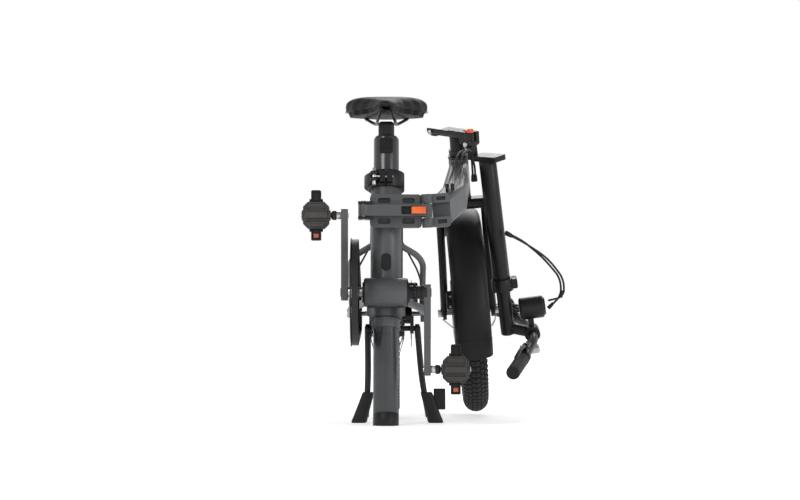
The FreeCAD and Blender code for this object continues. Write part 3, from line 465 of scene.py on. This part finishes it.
def add_tyre(prefix, spin_joint, body):
    centre, axis = joint(spin_joint)
    tyre = piece(prefix + "_tyre_tread", "tyre_rubber", body, lambda bm: tyre_mesh(bm, centre, axis))
    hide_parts(prefix + "_tyre")

    def beads(bm):
        for side in (-1, 1):
            lathe(bm, [(0.1995, side * 0.0142), (0.2030, side * 0.0150), (0.2030, side * 0.0135),
                       (0.1995, side * 0.0130), (0.1995, side * 0.0142)], centre, axis, 128)
    piece(prefix + "_rim_edges", "silver", body, beads)

    def nipples(bm):
        for i in range(SPOKES):
            turn = Matrix.Rotation(2 * PI * i / SPOKES, 4, "Z")
            place = Matrix.Translation(centre) @ frame_of(axis) @ turn @ Matrix.Translation((0.184, 0, 0))
            block(bm, (0.008, 0.0042, 0.0042), place)
    piece(prefix + "_spoke_nipples", "silver", body, nipples, 0.0006)

    def valve(bm):
        place = Matrix.Translation(centre) @ frame_of(axis) @ Matrix.Rotation(VALVE_TURN, 4, "Z")
        base = place @ Vector((0.187, 0, 0))
        lathe(bm, [(0.0, -0.036), (0.0030, -0.036), (0.0030, -0.012), (0.0042, -0.011), (0.0042, 0.0),
                   (0, 0)], base, place.to_3x3() @ Vector((1, 0, 0)), 16)
    piece(prefix + "_valve", "black_plastic", body, valve)


# ---------- saddle ----------

SADDLE_PLAN = [(0.0, 0.010), (0.03, 0.017), (0.12, 0.022), (0.30, 0.031), (0.45, 0.044), (0.58, 0.066),
               (0.70, 0.086), (0.82, 0.0970), (0.90, 0.0975), (0.96, 0.087), (1.0, 0.062)]
SADDLE_INSET = 0.006
SADDLE_BASE_RISE = 0.007
CUSHION_SWELL = 0.0035
AIR_STEPS = 20


def saddle_half_width(t):
    """Half width of the saddle plan, t from 0 at the nose to 1 at the back."""
    for (t0, w0), (t1, w1) in zip(SADDLE_PLAN, SADDLE_PLAN[1:]):
        if t <= t1:
            u = (t - t0) / (t1 - t0)
            u = u * u * (3 - 2 * u)
            return w0 + (w1 - w0) * u
    return SADDLE_PLAN[-1][1]


def saddle_mesh(bm, low, high, base):
    """The cushion, lofted from nose to back through rounded sections."""
    stations, across = 40, 22
    rows = []
    for i in range(stations + 1):
        t = i / stations
        y = low.y + SADDLE_INSET + (high.y - low.y - 2 * SADDLE_INSET) * t
        half = saddle_half_width(t)
        crown = high.z + 0.004 - 0.004 * math.sin(PI * min(1, t * 1.15)) ** 2 - 0.030 * (1 - t) ** 1.7
        droop = 0.013 + 0.012 * min(1.0, half / 0.09)
        row = []
        for j in range(across):
            angle = 2 * PI * j / across
            c, s = math.cos(angle), math.sin(angle)
            x = half * math.copysign(abs(c) ** 0.72, c)
            if s >= 0:
                z = crown - droop * (1 - abs(s) ** 0.50)
                z -= 0.004 * math.exp(-(x / 0.012) ** 2) * math.sin(PI * min(1, max(0, (t - 0.15) / 0.8)))
            else:
                z = crown - droop - (crown - droop - base) * abs(s) ** 0.5
            row.append(bm.verts.new((x, y, z)))
        rows.append(row)
    for near, far in zip(rows, rows[1:]):
        for j in range(across):
            k = (j + 1) % across
            bm.faces.new((near[j], near[k], far[k], far[j]))
    for row in (rows[0], rows[-1]):
        bm.faces.new(row)


def inflate(obj, limit):
    """Air pressure rounds the padding, and no point moves more than the limit."""
    remesh = obj.modifiers.new("even mesh", "REMESH")
    remesh.mode = "VOXEL"
    remesh.voxel_size = 0.0045
    apply_modifiers(obj)
    before = [v.co.copy() for v in obj.data.vertices]
    cloth = obj.modifiers.new("air", "CLOTH")
    cloth.settings.use_pressure = True
    cloth.settings.uniform_pressure_force = 4.0
    cloth.settings.effector_weights.gravity = 0
    for step in range(1, AIR_STEPS + 1):
        bpy.context.scene.frame_set(step)
    apply_modifiers(obj)
    for vertex, start in zip(obj.data.vertices, before):
        move = vertex.co - start
        if move.length > limit:
            vertex.co = start + move.normalized() * limit
    bpy.context.scene.frame_set(1)


def apply_modifiers(obj):
    evaluated = obj.evaluated_get(bpy.context.evaluated_depsgraph_get())
    mesh = bpy.data.meshes.new_from_object(evaluated)
    obj.modifiers.clear()
    obj.data = mesh


def add_saddle():
    low, high = low_high("saddle_cushion")
    base = low_high("saddle_shell")[0].z + SADDLE_BASE_RISE
    mesh = bpy.data.meshes.new("saddle_padding")
    bm = bmesh.new()
    saddle_mesh(bm, low, high, base)
    bmesh.ops.recalc_face_normals(bm, faces=bm.faces)
    bm.to_mesh(mesh)
    bm.free()
    cushion = bpy.data.objects.new("saddle_padding", mesh)
    bpy.context.scene.collection.objects.link(cushion)
    inflate(cushion, CUSHION_SWELL)
    cushion.data.materials.clear()
    cushion.data.materials.append(MATERIALS["saddle_cover"])
    smoothing = cushion.modifiers.new("smoothing", "SMOOTH")
    smoothing.factor = 0.5
    smoothing.iterations = 14
    rounding = cushion.modifiers.new("rounding", "SUBSURF")
    rounding.levels = 1
    rounding.render_levels = 1
    cushion.data.shade_smooth()
    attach(cushion, "seatpost")
    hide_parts("saddle_cushion", "saddle_shell")

    def tray(bm):
        stations = 36
        section = ((-1.0, 0.006), (-0.96, -0.0035), (-0.5, -0.0055), (0, -0.006), (0.5, -0.0055),
                   (0.96, -0.0035), (1.0, 0.006))
        rims = []
        for i in range(stations + 1):
            t = i / stations
            y = low.y + 0.014 + (high.y - low.y - 0.028) * t
            half = saddle_half_width(t) * 0.90
            rims.append([bm.verts.new((half * x, y, base + z)) for x, z in section])
        for near, far in zip(rims, rims[1:]):
            for j in range(len(near) - 1):
                bm.faces.new((near[j], near[j + 1], far[j + 1], far[j]))
        bmesh.ops.solidify(bm, geom=bm.faces[:], thickness=0.002)
    piece("saddle_base_tray", "black_plastic", "seatpost", tray, 0.0006)

    def seam(bm):
        loop = []
        for i in range(49):
            t = 0.02 + 0.96 * i / 48
            y = low.y + SADDLE_INSET + (high.y - low.y - 2 * SADDLE_INSET) * t
            loop.append((saddle_half_width(t) * 0.97, y))
        path = loop + [(-x, y) for x, y in reversed(loop)]
        for (x0, y0), (x1, y1) in zip(path, path[1:] + path[:1]):
            start, end = Vector((x0, y0, base + 0.0085)), Vector((x1, y1, base + 0.0085))
            middle = (start + end) / 2
            direction = end - start
            if direction.length < 1e-5:
                continue
            block(bm, (0.0016, 0.0016, direction.length * 1.02),
                  Matrix.Translation(middle) @ frame_of(direction))
    piece("saddle_edge_piping", "black_plastic", "seatpost", seam)


# ---------- small parts ----------

GRIP_RIBS = 22
RIVETS = 5
RIVET_CIRCLE = 0.088
CRANK_FACE = 0.0990
FOOT_HEIGHT = 0.070


def add_bolt(name, place, axis, radius, body, material="silver", height=0.003):
    """A round-headed bolt with a hex socket."""
    def mesh(bm):
        lathe(bm, [(0, -0.001), (radius, -0.001), (radius, height * 0.6), (radius * 0.85, height),
                   (radius * 0.5, height), (radius * 0.5, height * 0.35), (0, height * 0.35)],
              Vector(place), axis, 24)
    return piece(name, material, body, mesh)


def add_pedal(name):
    low, high = low_high("pedal_" + name)
    middle = (low + high) / 2
    body = "pedal_" + name
    width = 0.064
    spin = joint("pedal_" + name + "_spin")[0]
    centre = Vector((middle.x, spin.y, spin.z))

    def octagon(bm, half_x, half_z, cut, y0, y1):
        outline = [(-half_x, -half_z + cut), (-half_x + cut, -half_z), (half_x - cut, -half_z),
                   (half_x, -half_z + cut), (half_x, half_z - cut), (half_x - cut, half_z),
                   (-half_x + cut, half_z), (-half_x, half_z - cut)]
        near = [bm.verts.new((centre.x + x, centre.y + y0, centre.z + z)) for x, z in outline]
        far = [bm.verts.new((centre.x + x, centre.y + y1, centre.z + z)) for x, z in outline]
        bm.faces.new(near)
        bm.faces.new(far[::-1])
        for i in range(8):
            k = (i + 1) % 8
            bm.faces.new((near[i], far[i], far[k], near[k]))

    def platform(bm):
        octagon(bm, 0.0290, 0.0300, 0.0110, -0.0110, 0.0110)
        octagon(bm, 0.0240, 0.0250, 0.0100, -0.0200, 0.0200)
        for side in (-1, 1):
            for z in (-0.017, 0.0, 0.017):
                block(bm, (0.040, 0.014, 0.0032), Matrix.Translation(centre + Vector((0, side * 0.0155, z))))
            block(bm, (0.052, 0.012, 0.013), Matrix.Translation(centre + Vector((0, side * 0.0275, 0))), 0.9)
            for x in (-1, 1):
                place = centre + Vector((x * 0.020, side * 0.018, 0))
                block(bm, (0.007, 0.022, 0.012), Matrix.Translation(place))
        lathe(bm, [(0.0058, -width / 2), (0.0115, -width / 2), (0.0125, -0.020), (0.0125, 0.020),
                   (0.0115, width / 2), (0.0058, width / 2), (0.0058, -width / 2)], centre, (1, 0, 0), 32)
    cage = piece("pedal_platform_" + name, "pedal_plastic", body, platform, 0.0016)

    def studs(bm):
        stud = [(0, -0.002), (0.0018, -0.002), (0.0018, 0.0010), (0.0012, 0.0016), (0, 0.0016)]
        for side in (-1, 1):
            for x in (-0.0195, 0.0195):
                for z in (-0.0145, 0.0145):
                    place = centre + Vector((x, side * 0.0200, z))
                    lathe(bm, stud, place, (0, side, 0), 12)
    piece("pedal_studs_" + name, "black_metal", body, studs)

    def clips(bm):
        for turn in (-1, 1):
            z = turn * 0.043
            block(bm, (0.022, 0.016, 0.024), Matrix.Translation(centre + Vector((0, 0, z))), 0.92)
            block(bm, (0.030, 0.012, 0.010), Matrix.Translation(centre + Vector((0, 0.001, turn * 0.031))))
            block(bm, (0.018, 0.021, 0.004), Matrix.Translation(centre + Vector((0, 0, turn * 0.0535))))
            for x in (-0.0095, 0.0095):
                block(bm, (0.003, 0.021, 0.022), Matrix.Translation(centre + Vector((x, -0.001, z))))
    piece("pedal_fold_clips_" + name, "black_plastic", body, clips, 0.0012)

    def reflectors(bm):
        for way in (-1, 1):
            block(bm, (0.011, 0.003, 0.009), Matrix.Translation(centre + Vector((0, way * 0.0092, -0.045))))
    piece("pedal_reflector_" + name, "reflector_amber", body, reflectors, 0.0007)
    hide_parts("pedal_" + name)


def add_grip(index, points):
    middle, direction, half = principal_axis(points)
    start = middle - direction * half

    def mesh(bm):
        profile = [(0.0108, 0.0), (0.0160, 0.0), (0.0168, 0.003)]
        length = 2 * half
        step = (length - 0.014) / GRIP_RIBS
        for i in range(GRIP_RIBS):
            z = 0.006 + (length - 0.014) * i / GRIP_RIBS
            profile += [(0.0150, z), (0.0163, z + 0.25 * step), (0.0163, z + 0.75 * step), (0.0150, z + step)]
        profile += [(0.0168, length - 0.005), (0.0160, length), (0.0108, length), (0.0108, 0.0)]
        lathe(bm, profile, start, direction, 48)
    grip = piece(f"ribbed_grip_{index}", "grip_rubber", "bar_assembly", mesh)

    def plug(bm):
        for end, way in ((start, -1), (start + direction * 2 * half, 1)):
            lathe(bm, [(0, -0.002), (0.0150, -0.002), (0.0156, -0.0006), (0.0150, 0.0004), (0, 0.0008)],
                  end, direction * way, 40)
    piece(f"grip_end_rings_{index}", "black_plastic", "bar_assembly", plug)
    return grip


def add_grips():
    points = node_points("grips")
    cut = sum(p.y for p in points) / len(points)
    near = add_grip(1, [p for p in points if p.y < cut])
    add_grip(2, [p for p in points if p.y >= cut])
    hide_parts("grips")


def add_drive_details():
    low, high = low_high("front_pulley")
    spin = joint("crank_spin")[0]
    centre = Vector(((low.x + high.x) / 2, spin.y, spin.z))
    outer = low_high("pulley_guard")[0].x

    def rivets(bm):
        for i in range(RIVETS):
            angle = 2 * PI * (i + 0.5) / RIVETS + PI / 2
            place = Vector((low.x - 0.0002, centre.y + RIVET_CIRCLE * math.cos(angle),
                            centre.z + RIVET_CIRCLE * math.sin(angle)))
            lathe(bm, [(0, -0.002), (0.0065, -0.002), (0.0065, 0.0006), (0.0052, 0.0016), (0, 0.0016)],
                  place, (-1, 0, 0), 20)
    piece("pulley_bolts", "silver", "crank_set", rivets)

    def lip(bm):
        x = outer - centre.x
        lathe(bm, [(0.1168, -x - 0.0020), (0.1196, -x - 0.0020), (0.1199, -x - 0.0012), (0.1196, -x),
                   (0.1168, -x), (0.1168, -x - 0.0020)], centre, (-1, 0, 0), 160)
    piece("guard_lip", "black_plastic", "crank_set", lip)
    for name, side in (("drive", -1), ("left", 1)):
        face = Vector((side * CRANK_FACE, spin.y, spin.z))
        pedal = joint("pedal_" + name + "_spin")[0]

        def boss(bm, side=side, pedal=pedal):
            start = Vector((side * 0.1070, pedal.y, pedal.z))
            rounded_bar(bm, start, start + Vector((side * 0.0140, 0, 0)), 0.0105, 32)
        piece("pedal_boss_" + name, "black_metal", "crank_set", boss)
        add_bolt("crank_bolt_" + name, face, (side, 0, 0), 0.010, "crank_set", "black_metal", 0.0016)


def add_kick_feet():
    """Slanted rubber boots, the left one with a tab to push with the foot."""
    low, high = low_high("kickstand_feet")
    points = node_points("kickstand_feet")
    for name, way in (("drive", -1), ("left", 1)):
        mine = [p for p in points if (p.x > (low.x + high.x) / 2) == (way > 0)]
        a = Vector((min(p.x for p in mine), min(p.y for p in mine), 0))
        b = Vector((max(p.x for p in mine), max(p.y for p in mine), max(p.z for p in mine)))
        inner = a.x if way > 0 else b.x
        top_x, top_half = inner + way * 0.006, 0.0135
        low_x, low_half = inner + way * 0.0285, 0.0185

        def mesh(bm, a=a, b=b, way=way, top_x=top_x, low_x=low_x, top_half=top_half, low_half=low_half):
            rows = []
            for t in (0, 0.05, 0.25, 0.5, 0.75, 1.0):
                z = FOOT_HEIGHT * t
                cx = low_x + (top_x - low_x) * t
                cy = (a.y + b.y) / 2 - (b.y - a.y) * 0.14 * t
                hx = low_half + (top_half - low_half) * t ** 0.7
                hy = (b.y - a.y) / 2 * (1 - 0.40 * t ** 0.7)
                if t == 0:
                    hx, hy = hx - 0.0015, hy - 0.0015
                row = []
                for i in range(24):
                    angle = 2 * PI * i / 24
                    c, s = math.cos(angle), math.sin(angle)
                    row.append(bm.verts.new((cx + hx * math.copysign(abs(c) ** 0.6, c),
                                             cy + hy * math.copysign(abs(s) ** 0.6, s), z)))
                rows.append(row)
            for near, far in zip(rows, rows[1:]):
                for i in range(24):
                    j = (i + 1) % 24
                    bm.faces.new((near[i], near[j], far[j], far[i]))
            bm.faces.new(rows[0][::-1])
            bm.faces.new(rows[-1])
            if way > 0:
                tab = Matrix.Translation((b.x - 0.0135, (a.y + b.y) / 2, 0.054))
                block(bm, (0.027, 0.009, 0.048), tab)
        foot = piece("stand_foot_" + name, "black_plastic", "kickstand", mesh, 0.0022)
        if way > 0:
            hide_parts("kickstand_feet")


def add_latch_details():
    low, high = low_high("main_latch_lever")
    middle_z = (low.z + high.z) / 2
    slider_low, slider_high = low_high("main_latch_safety_slider")

    def ridges(bm):
        for i in range(4):
            x = slider_low.x + 0.0028 + 0.0030 * i
            block(bm, (0.0012, 0.0012, 0.011), Matrix.Translation((x, slider_low.y - 0.0003, middle_z)))
        block(bm, (0.030, 0.0016, 0.0150), Matrix.Translation((0.0730, low.y - 0.0010, middle_z)))
        for i in range(3):
            place = (0.0810 + 0.0026 * i, low.y - 0.0020, middle_z)
            block(bm, (0.0016, 0.0010, 0.0120), Matrix.Translation(place))
    piece("slider_ridges", "safety_orange", "latch_slider", ridges, 0.0003)

    def floor_plate(bm):
        block(bm, (0.036, 0.0012, 0.0165), Matrix.Translation((0.053, slider_high.y + 0.0001, middle_z)))
    piece("latch_pocket_floor", "black_plastic", "main_latch", floor_plate)


def unfolded(place):
    """From the folded rest pose to the riding pose, and back again."""
    pin, axis = joint("main_fold")
    return Matrix.Translation(pin) @ Matrix.Rotation(PI, 4, axis) @ Matrix.Translation(-pin) @ place


def curved_guard(bm, centre, first, last, half, crown, drop, thick, turned):
    """A rounded mudguard shell between two angles, measured from +Y towards +Z."""
    steps, across = max(6, int((last - first) / 2.5)), 20
    skins = []
    for skin in (0.0, thick):
        rows = []
        for i in range(steps + 1):
            angle = math.radians(first + (last - first) * i / steps)
            row = []
            for j in range(across + 1):
                u = -1 + 2 * j / across
                radius = crown - skin - drop * (1 - max(0.0, 1 - abs(u) ** 2.6) ** 0.5)
                x = half * u * (1 - skin * 6)
                place = centre + Vector((x, radius * math.cos(angle), radius * math.sin(angle)))
                row.append(bm.verts.new(unfolded(place) if turned else place))
            rows.append(row)
        skins.append(rows)
    outer, inner = skins
    for rows in skins:
        for near, far in zip(rows, rows[1:]):
            for j in range(across):
                bm.faces.new((near[j], near[j + 1], far[j + 1], far[j]))
    for i in range(steps):
        for j in (0, across):
            bm.faces.new((outer[i][j], outer[i + 1][j], inner[i + 1][j], inner[i][j]))
    for i in (0, steps):
        for j in range(across):
            bm.faces.new((outer[i][j], outer[i][j + 1], inner[i][j + 1], inner[i][j]))


def add_mudguards():
    middle = unfolded(joint("front_wheel_spin")[0])

    def shell(bm):
        curved_guard(bm, middle, -16.8, 127.5, 0.0440, 0.2590, 0.020, 0.002, True)

    def flap(bm):
        curved_guard(bm, middle, -27.0, -16.5, 0.0446, 0.2600, 0.020, 0.003, True)

    def stays(bm):
        for side in (-1, 1):
            points = [Vector((side * 0.066, 0.016, -0.016)), Vector((side * 0.058, 0.130, -0.026)),
                      Vector((side * 0.0460, 0.241, -0.040))]
            for start, end in zip(points, points[1:]):
                rounded_bar(bm, unfolded(middle + start), unfolded(middle + end), 0.0020, 12)
    guard = piece("front_guard_shell", "black_plastic", "fork", shell)
    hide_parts("front_mudguard")
    piece("front_guard_flap", "black_plastic", "fork", flap)
    piece("front_guard_stays", "silver", "fork", stays)


def add_seat_tube_details():
    def band(distance, radius, height, thick):
        def mesh(bm):
            lathe(bm, [(radius, -height / 2), (radius + thick, -height / 2 + 0.0004),
                       (radius + thick, height / 2 - 0.0004), (radius, height / 2), (radius, -height / 2)],
                  SEAT_UP * distance, SEAT_UP, 96)
        return mesh
    piece("seat_tube_lower_ring", "black_metal", "rear_frame", band(0.2405, 0.0350, 0.0022, 0.0008))
    piece("end_cap_seam", "black_plastic", "seatpost", band(0.0245, 0.0283, 0.0014, 0.0003))

    def marks(bm):
        face = frame_of(SEAT_UP) @ Matrix.Rotation(0.25, 4, "Z") @ Matrix.Translation((0.0283, 0, 0))
        for i in range(9):
            length = 0.007 if i % 4 else 0.012
            block(bm, (0.0005, length, 0.0006), Matrix.Translation(SEAT_UP * (0.572 + 0.009 * i)) @ face)
    piece("seatpost_height_marks", "light_grey", "seatpost", marks)


def on_surface(node, origin, direction):
    """The first point and normal of a part's skin along a line."""
    hit, place, normal, _ = NODES[node].ray_cast(Vector(origin), Vector(direction).normalized())
    return (place, normal) if hit else (Vector(origin), -Vector(direction).normalized())


def add_seatpost_cap():
    middle = SEAT_UP * 0.650

    def stick(name, x, rise, radius, material, height, hexed):
        start = middle + SEAT_UP * rise + Vector((x, 0, 0)) + SEAT_AHEAD * 0.1
        place, normal = on_surface("seatpost", start, -SEAT_AHEAD)
        if hexed:
            add_bolt(name, place, normal, radius, "seatpost", material, height)
            return

        def mesh(bm):
            lathe(bm, [(0, -0.002), (radius, -0.002), (radius, height * 0.6), (radius * 0.8, height),
                       (0, height)], place, normal, 32)
        piece(name, material, "seatpost", mesh)
    stick("seatpost_port_cap", 0.0, 0.0, 0.0066, "black_plastic", 0.0016, False)
    for i, (x, rise) in enumerate(((-0.0112, 0.009), (0.0112, 0.009), (-0.0112, -0.009), (0.0112, -0.009))):
        stick(f"seatpost_screw_{i}", x, rise, 0.0030, "black_metal", 0.0012, True)


def rounded_bar(bm, start, end, radius, steps=20):
    """A round bar with softly closed ends."""
    line = Vector(end) - Vector(start)
    run = line.length
    nib = radius * 0.35
    lathe(bm, [(0, 0), (radius - nib, 0), (radius, nib), (radius, run - nib), (radius - nib, run), (0, run)],
          Vector(start), line, steps)


def add_stem_details():
    hinge, hinge_axis = joint("handlepost_fold")
    latch, latch_axis = joint("stem_latch_swing")

    def hinge_ends(bm):
        for side in (-1, 1):
            start = hinge + hinge_axis * side * 0.0195
            lathe(bm, [(0, 0), (0.0066, 0), (0.0066, 0.0026), (0.0052, 0.0036), (0.0030, 0.0036),
                       (0.0030, 0.0018), (0, 0.0018)], start, hinge_axis * side, 24)
    piece("post_hinge_bolts", "silver", "fork", hinge_ends)

    def latch_end(bm):
        lathe(bm, [(0, 0), (0.0060, 0), (0.0060, 0.0020), (0.0048, 0.0030), (0.0026, 0.0030),
                   (0.0026, 0.0016), (0, 0.0016)], latch + latch_axis * 0.0055, latch_axis, 24)
    piece("latch_pivot_bolt", "silver", "fork", latch_end)
    middle, along, half = principal_axis(node_points("stem_latch_lever"))

    def inlay(bm):
        turn = frame_of(along)
        for shift in (-0.52, -0.28, -0.04):
            above = middle + along * half * shift + Vector((0, 0, 0.05))
            place = on_surface("stem_latch_lever", above, (0, 0, -1))[0]
            block(bm, (0.0040, 0.0010, 0.018), Matrix.Translation(place) @ turn)
    piece("stem_lever_ribs", "black_plastic", "stem_latch", inlay, 0.0003)


def add_caliper_bolts():
    for node, body in (("rear_brake_caliper", "rear_frame"), ("front_brake_caliper", "fork")):
        low, high = low_high(node)
        middle = (low + high) / 2
        for i, (dx, dz) in enumerate(((-0.006, 0.012), (0.006, 0.012), (-0.006, -0.012), (0.006, -0.012))):
            start = Vector((middle.x + dx, low.y - 0.05, middle.z + dz))
            place, normal = on_surface(node, start, (0, 1, 0))
            if (place - start).length > 0.001:
                add_bolt(f"{node}_bolt_{i}", place, normal, 0.0034, body)


def add_shell_feet():
    """Threaded bosses, shell rings and a crank sleeve round the bottom bracket."""
    def bosses(bm):
        for x in (-0.033, 0.033):
            rounded_bar(bm, (x, 0.018, 0.262), (x, 0.018, 0.240), 0.0095, 32)
    piece("shell_bosses", "frame_grey", "rear_frame", bosses)

    def rings(bm):
        for side in (-1, 1):
            lathe(bm, [(0.0240, 0.0), (0.0300, 0.0), (0.0305, 0.0012), (0.0300, 0.0030), (0.0240, 0.0034),
                       (0.0240, 0.0)], BOTTOM_BRACKET + Vector((side * 0.0458, 0, 0)), (side, 0, 0), 64)
    piece("shell_rings", "black_metal", "rear_frame", rings)

    def sleeve(bm):
        lathe(bm, [(0.0122, 0.052), (0.0150, 0.052), (0.0150, 0.060), (0.0180, 0.061), (0.0180, 0.066),
                   (0.0145, 0.067), (0.0145, 0.078), (0.0170, 0.079), (0.0170, 0.090), (0.0122, 0.090),
                   (0.0122, 0.052)], BOTTOM_BRACKET, (1, 0, 0), 48)
        middle = BOTTOM_BRACKET + Vector((0.0635, 0, 0))
        for i in range(16):
            turn = Matrix.Translation(middle) @ Matrix.Rotation(2 * PI * i / 16, 4, "X")
            block(bm, (0.0050, 0.0036, 0.0050), turn @ Matrix.Translation((0, 0, 0.0195)))
    piece("crank_sleeve", "black_metal", "crank_set", sleeve)


def islands(node):
    """The point clouds of a part's separate solids."""
    mesh = NODES[node].data
    keys = [tuple(round(c, 5) for c in v.co) for v in mesh.vertices]
    parent = {key: key for key in keys}

    def root(key):
        while parent[key] != key:
            parent[key] = parent[parent[key]]
            key = parent[key]
        return key
    for edge in mesh.edges:
        a, b = (root(keys[i]) for i in edge.vertices)
        parent[a] = b
    groups = {}
    for key in parent:
        groups.setdefault(root(key), []).append(Vector(key))
    return sorted(groups.values(), key=lambda points: (len(points), points[0][:]))


def cord_ends(node):
    """Centre and outward direction of both ends of every cord in a part."""
    ends = []
    for points in islands(node):
        centre = sum(points, Vector()) / len(points)
        first = max(points, key=lambda p: (p - centre).length)
        second = max(points, key=lambda p: (p - first).length)
        for tip in (first, second):
            near = [p for p in points if (p - tip).length < 0.0056]
            wide = [p for p in points if (p - tip).length < 0.040]
            end = sum(near, Vector()) / len(near)
            inside = sum(wide, Vector()) / len(wide)
            if (end - inside).length > 1e-4:
                ends.append((end, (end - inside).normalized()))
    return ends


def add_cable_ends():
    bodies = {name: body for body, names in RECORD["behaviour"]["bodies"].items() for name in names}
    for node in ("frame_cables", "control_cables"):
        def sleeves(bm, node=node):
            for end, way in cord_ends(node):
                lathe(bm, [(0.0026, -0.016), (0.0034, -0.016), (0.0040, -0.012), (0.0046, -0.006),
                           (0.0048, 0.0), (0.0044, 0.0015), (0, 0.0018)], end, way, 24)
        piece(node + "_sleeves", "black_plastic", bodies[node], sleeves)


KEPT_SHARP = ("front_tyre", "rear_tyre", "drive_belt", "control_cables", "frame_cables", "rear_spokes",
              "front_spokes", "saddle_cushion")

add_tyre("front", "front_wheel_spin", "front_wheel")
add_tyre("rear", "rear_wheel_spin", "rear_wheel")
add_mudguards()
add_saddle()
add_pedal("drive")
add_pedal("left")
add_grips()
add_drive_details()
add_kick_feet()
add_latch_details()
add_seat_tube_details()
add_seatpost_cap()
add_stem_details()
add_caliper_bolts()
add_shell_feet()
add_cable_ends()
for node_name in NODES:
    if node_name not in KEPT_SHARP:
        soften_node(node_name, 0.0007)
